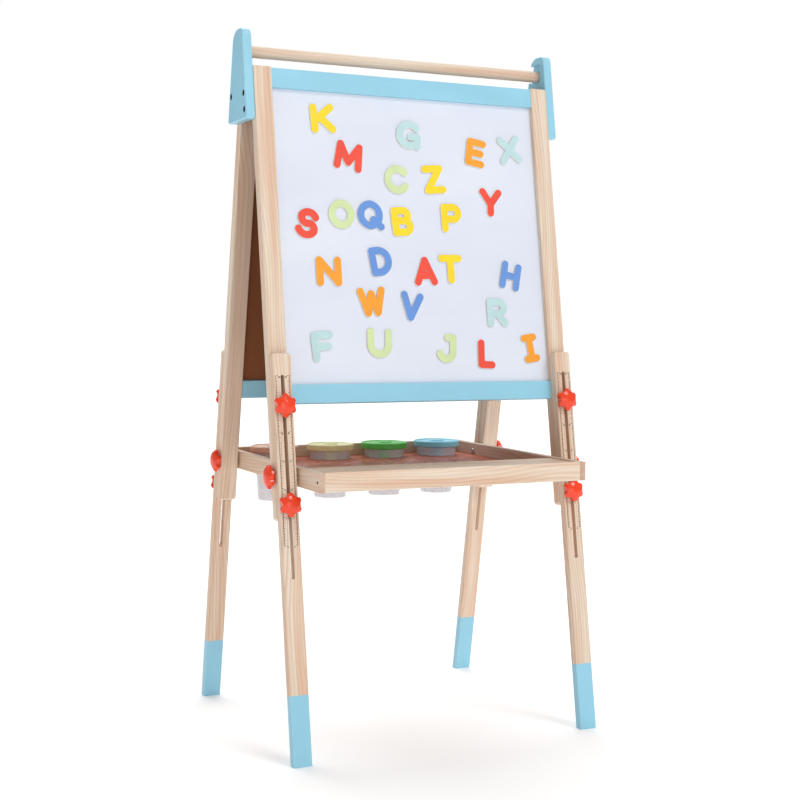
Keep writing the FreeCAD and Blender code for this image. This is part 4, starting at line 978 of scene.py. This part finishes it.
# ---------------------------------------------------------------- letters
class EASEL_OT_letters(bpy.types.Operator):
    """Painted faces and pale cut edges on the magnetic letters"""

    bl_idname = "easel.letters"
    bl_label = "Magnetic letters"

    def execute(self, context):
        for shade in ("red", "orange", "yellow", "green", "aqua", "blue"):
            # Letters: medium-density fibreboard, die cut and roller painted. Flat, even, satin faces with
            # a faint stipple, and pale fibrous edges.
            made, tree = start(f"painted_fibreboard_{shade}")
            face, spot = outward(tree, out_of("front"))
            stipple, _ = speckle(tree, spot, (2.5, 2.5, 2.5), detail=2.0)
            cloud, _ = speckle(tree, spot, (30.0, 30.0, 30.0), detail=1.0)
            colour = getattr(context.scene.easel_plastics, "letters_" + shade)
            deep = [c * 0.92 for c in colour[:3]] + [1.0]
            paint = add(
                tree,
                "ShaderNodeMix",
                COLOURS,
                {
                    0: add(tree, "ShaderNodeMapRange", {}, {0: cloud, 1: 0.3, 2: 0.7, 3: 0.0, 4: 1.0}, 0),
                    6: deep,
                    7: colour[:],
                },
                2,
            )
            edge = add(tree, "ShaderNodeMix", COLOURS, {0: stipple, 6: linear("#E3D8C8"), 7: linear("#F2EDE4")}, 2)
            finish_with(
                tree,
                {
                    "Base Color": add(tree, "ShaderNodeMix", COLOURS, {0: face, 6: edge, 7: paint}, 2),
                    "Roughness": add(
                        tree, "ShaderNodeMapRange", {}, {0: stipple, 1: 0.3, 2: 0.7, 3: 0.42, 4: 0.56}, 0
                    ),
                    "IOR": COATING_IOR,
                    "Normal": add(
                        tree, "ShaderNodeBump", {}, {"Height": stipple, "Distance": 0.05 * MM, "Strength": 0.6}, 0
                    ),
                },
            )
            dress(f"letters_{shade}", made)
        return {"FINISHED"}


# ---------------------------------------------------------------- ruler print
# Strokes of the digits on a grid two wide and four tall.
DIGITS = {
    "0": (((0, 0), (2, 0), (2, 4), (0, 4), (0, 0)),),
    "1": (((0.4, 3.2), (1.2, 4), (1.2, 0)),),
    "2": (((0, 4), (2, 4), (2, 2), (0, 2), (0, 0), (2, 0)),),
    "3": (((0, 4), (2, 4), (2, 0), (0, 0)), ((0.4, 2), (2, 2))),
    "5": (((2, 4), (0, 4), (0, 2), (2, 2), (2, 0), (0, 0)),),
}


class EASEL_OT_ruler(bpy.types.Operator):
    """Centimetre scale printed beside the slot on both front legs"""

    bl_idname = "easel.ruler"
    bl_label = "Ruler print"

    def execute(self, context):
        sizes = context.scene.easel_ruler
        lean = LEAN["front"]
        # Scale: solvent ink, pad printed on lacquered pine. Dark brown-black, matt, thin, a little starved.
        ink, tree = start("printed_ink")
        spot = add(tree, "ShaderNodeTexCoord").outputs["Object"]
        starved, _ = speckle(tree, spot, (2.0, 2.0, 2.0), detail=2.0)
        finish_with(
            tree,
            {
                "Base Color": add(
                    tree,
                    "ShaderNodeMix",
                    COLOURS,
                    {
                        0: add(tree, "ShaderNodeMapRange", {}, {0: starved, 1: 0.5, 2: 0.9, 3: 0.0, 4: 0.5}, 0),
                        6: linear("#35251D"),
                        7: linear("#6A5143"),
                    },
                    2,
                ),
                "Roughness": 0.6,
                "IOR": COATING_IOR,
            },
        )
        for hand in SIDES:
            low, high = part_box(f"front_leg_{hand}")
            middle = (low.x + high.x) / 2
            bm = bmesh.new()

            def spot_at(across, along, depth):
                return (
                    middle + across,
                    FOOT_Y["front"] + along * math.sin(lean) + depth * math.cos(lean),
                    along * math.cos(lean) - depth * math.sin(lean),
                )

            def stroke(a, b, width):
                run = Vector((b[0] - a[0], b[1] - a[1])).normalized()
                side = Vector((-run.y, run.x)) * width / 2
                tip = run * width / 2
                corners = [
                    Vector(a) - tip - side,
                    Vector(b) + tip - side,
                    Vector(b) + tip + side,
                    Vector(a) - tip + side,
                ]
                back = [bm.verts.new(spot_at(c.x, c.y, PRINT_BACK)) for c in corners]
                front = [bm.verts.new(spot_at(c.x, c.y, PRINT_FACE)) for c in corners]
                bm.faces.new(back)
                bm.faces.new(front[::-1])
                for i in range(4):
                    j = (i + 1) % 4
                    bm.faces.new((back[i], front[i], front[j], back[j]))

            edge, line = sizes.half_width, sizes.line
            ends = sizes.low, sizes.low + sizes.length
            for sign in (-1, 1):
                stroke((sign * edge, ends[0]), (sign * edge, ends[1]), line)
                for half in range(int(sizes.length / TICK_STEP) + 1):
                    up = ends[0] + half * TICK_STEP
                    reach = TICK_LONG if half % 10 == 0 else TICK_MIDDLE if half % 2 == 0 else TICK_SHORT
                    stroke((sign * edge, up), (sign * (edge - reach), up), line * TICK_LINE)
                for five in range(int(sizes.length / LABEL_STEP) + 1):
                    words = str(5 * five)
                    begin = sign * (edge - DIGIT_INSET) - (len(words) * 3 - 1) * DIGIT_GRID / 2
                    for k, digit in enumerate(words):
                        for path in DIGITS[digit]:
                            spots = [
                                (
                                    begin + (k * 3 + u) * DIGIT_GRID,
                                    ends[0] + five * LABEL_STEP + (v - DIGIT_DROP) * DIGIT_GRID,
                                )
                                for u, v in path
                            ]
                            for a, b in zip(spots, spots[1:]):
                                stroke(a, b, line * DIGIT_LINE)
            as_piece(f"ruler_print_{hand}", bm, ink, f"front_leg_{hand}")
        return {"FINISHED"}


# ---------------------------------------------------------------- stage
class EASEL_OT_stage(bpy.types.Operator):
    """Pale floor, soft light and the camera"""

    bl_idname = "easel.stage"
    bl_label = "Stage"

    def execute(self, context):
        scene, look = context.scene, context.scene.easel_stage
        scene.view_settings.view_transform = "Standard"
        # Floor: translucent acrylic lit from below, rolled matt white. One even tone with only faint shadows.
        made, tree = start("studio_floor")
        spot = add(tree, "ShaderNodeTexCoord").outputs["Object"]
        roll, _ = speckle(tree, spot, (600.0, 600.0, 600.0), detail=2.0)
        finish_with(
            tree,
            {
                "Base Color": add(
                    tree, "ShaderNodeMix", COLOURS, {0: roll, 6: linear("#F3F3F3"), 7: linear("#F6F6F6")}, 2
                ),
                "Roughness": 0.9,
                "IOR": COATING_IOR,
                "Emission Color": linear(WHITE),
                "Emission Strength": 0.2,
            },
        )
        bm, corners = bmesh.new(), ((-1, -1), (1, -1), (1, 1), (-1, 1))
        bm.faces.new([bm.verts.new((x * FLOOR_REACH, y * FLOOR_REACH, 0)) for x, y in corners])
        mesh = bpy.data.meshes.new("studio_floor")
        bm.to_mesh(mesh)
        bm.free()
        mesh.materials.append(made)
        floor = bpy.data.objects.new("studio_floor", mesh)
        scene.collection.objects.link(floor)

        world = bpy.data.worlds.new("studio_room")
        scene.world = world
        world.use_nodes = True
        tree = world.node_tree
        tree.nodes.clear()
        seen = add(tree, "ShaderNodeLightPath", out="Is Camera Ray")
        bright = add(tree, "ShaderNodeMapRange", {}, {0: seen, 1: 0.0, 2: 1.0, 3: look.sky, 4: 1.0}, 0)
        glow = add(tree, "ShaderNodeBackground", {}, {"Color": linear(WHITE), "Strength": bright}, 0)
        add(tree, "ShaderNodeOutputWorld", {}, {"Surface": glow})

        for name, strength, toward, width in (
            ("key_light", look.key, (0.45, -1.0, 1.1), 24),
            ("fill_light", look.fill, (-0.1, -1.0, 0.12), 40),
            ("top_light", look.back, (0.15, 0.75, 1.0), 60),
        ):
            light = bpy.data.lights.new(name, "SUN")
            light.energy = strength
            light.angle = math.radians(width)
            lamp = bpy.data.objects.new(name, light)
            lamp.rotation_mode = "QUATERNION"
            lamp.rotation_quaternion = Vector(toward).to_track_quat("Z", "Y")
            lamp.location = Vector(toward) * LAMP_REACH
            scene.collection.objects.link(lamp)

        yaw, pitch, roll = look.yaw, look.pitch, look.roll
        ahead = Vector((math.sin(yaw) * math.cos(pitch), math.cos(yaw) * math.cos(pitch), -math.sin(pitch)))
        level = Vector((math.cos(yaw), -math.sin(yaw), 0))
        up = level.cross(ahead)
        right = level * math.cos(roll) + up * math.sin(roll)
        top = up * math.cos(roll) - level * math.sin(roll)
        lens = bpy.data.cameras.new("studio_camera")
        lens.lens, lens.sensor_width = look.lens, SENSOR_WIDTH
        lens.shift_x, lens.shift_y = LENS_SHIFT
        camera = bpy.data.objects.new("studio_camera", lens)
        turned = Matrix((right, top, -ahead)).transposed().to_4x4()
        camera.matrix_world = Matrix.Translation(look.camera_place) @ turned
        scene.collection.objects.link(camera)
        scene.camera = camera
        return {"FINISHED"}


# ---------------------------------------------------------------- panel and registration
class EASEL_PT_panel(bpy.types.Panel):
    """The easel's operators and settings"""

    bl_idname = "EASEL_PT_panel"
    bl_label = "Easel"
    bl_space_type = "VIEW_3D"
    bl_region_type = "UI"
    bl_category = "Easel"

    def draw(self, context):
        for operator in OPERATORS:
            self.layout.operator(operator.bl_idname)
        for name, group in GROUPS.items():
            box = self.layout.box()
            for prop in group.__annotations__:
                box.prop(getattr(context.scene, name), prop)


GROUPS = {
    "easel_wood": EaselWood,
    "easel_paint": EaselPaint,
    "easel_plastics": EaselPlastics,
    "easel_ruler": EaselRuler,
    "easel_stage": EaselStage,
}
OPERATORS = (
    EASEL_OT_stiles,
    EASEL_OT_rails,
    EASEL_OT_rod,
    EASEL_OT_boards,
    EASEL_OT_tray,
    EASEL_OT_knobs,
    EASEL_OT_metal,
    EASEL_OT_cups,
    EASEL_OT_letters,
    EASEL_OT_ruler,
    EASEL_OT_stage,
)


def register():
    for group in GROUPS.values():
        bpy.utils.register_class(group)
    for made in OPERATORS + (EASEL_PT_panel,):
        bpy.utils.register_class(made)
    for name, group in GROUPS.items():
        setattr(bpy.types.Scene, name, bpy.props.PointerProperty(type=group))


def unregister():
    for name in GROUPS:
        delattr(bpy.types.Scene, name)
    for made in (EASEL_PT_panel,) + OPERATORS[::-1] + tuple(GROUPS.values()):
        bpy.utils.unregister_class(made)


def main():
    register()
    for operator in OPERATORS:
        getattr(bpy.ops.easel, operator.bl_idname.split(".")[1])()


if __name__ == "__main__":
    main()
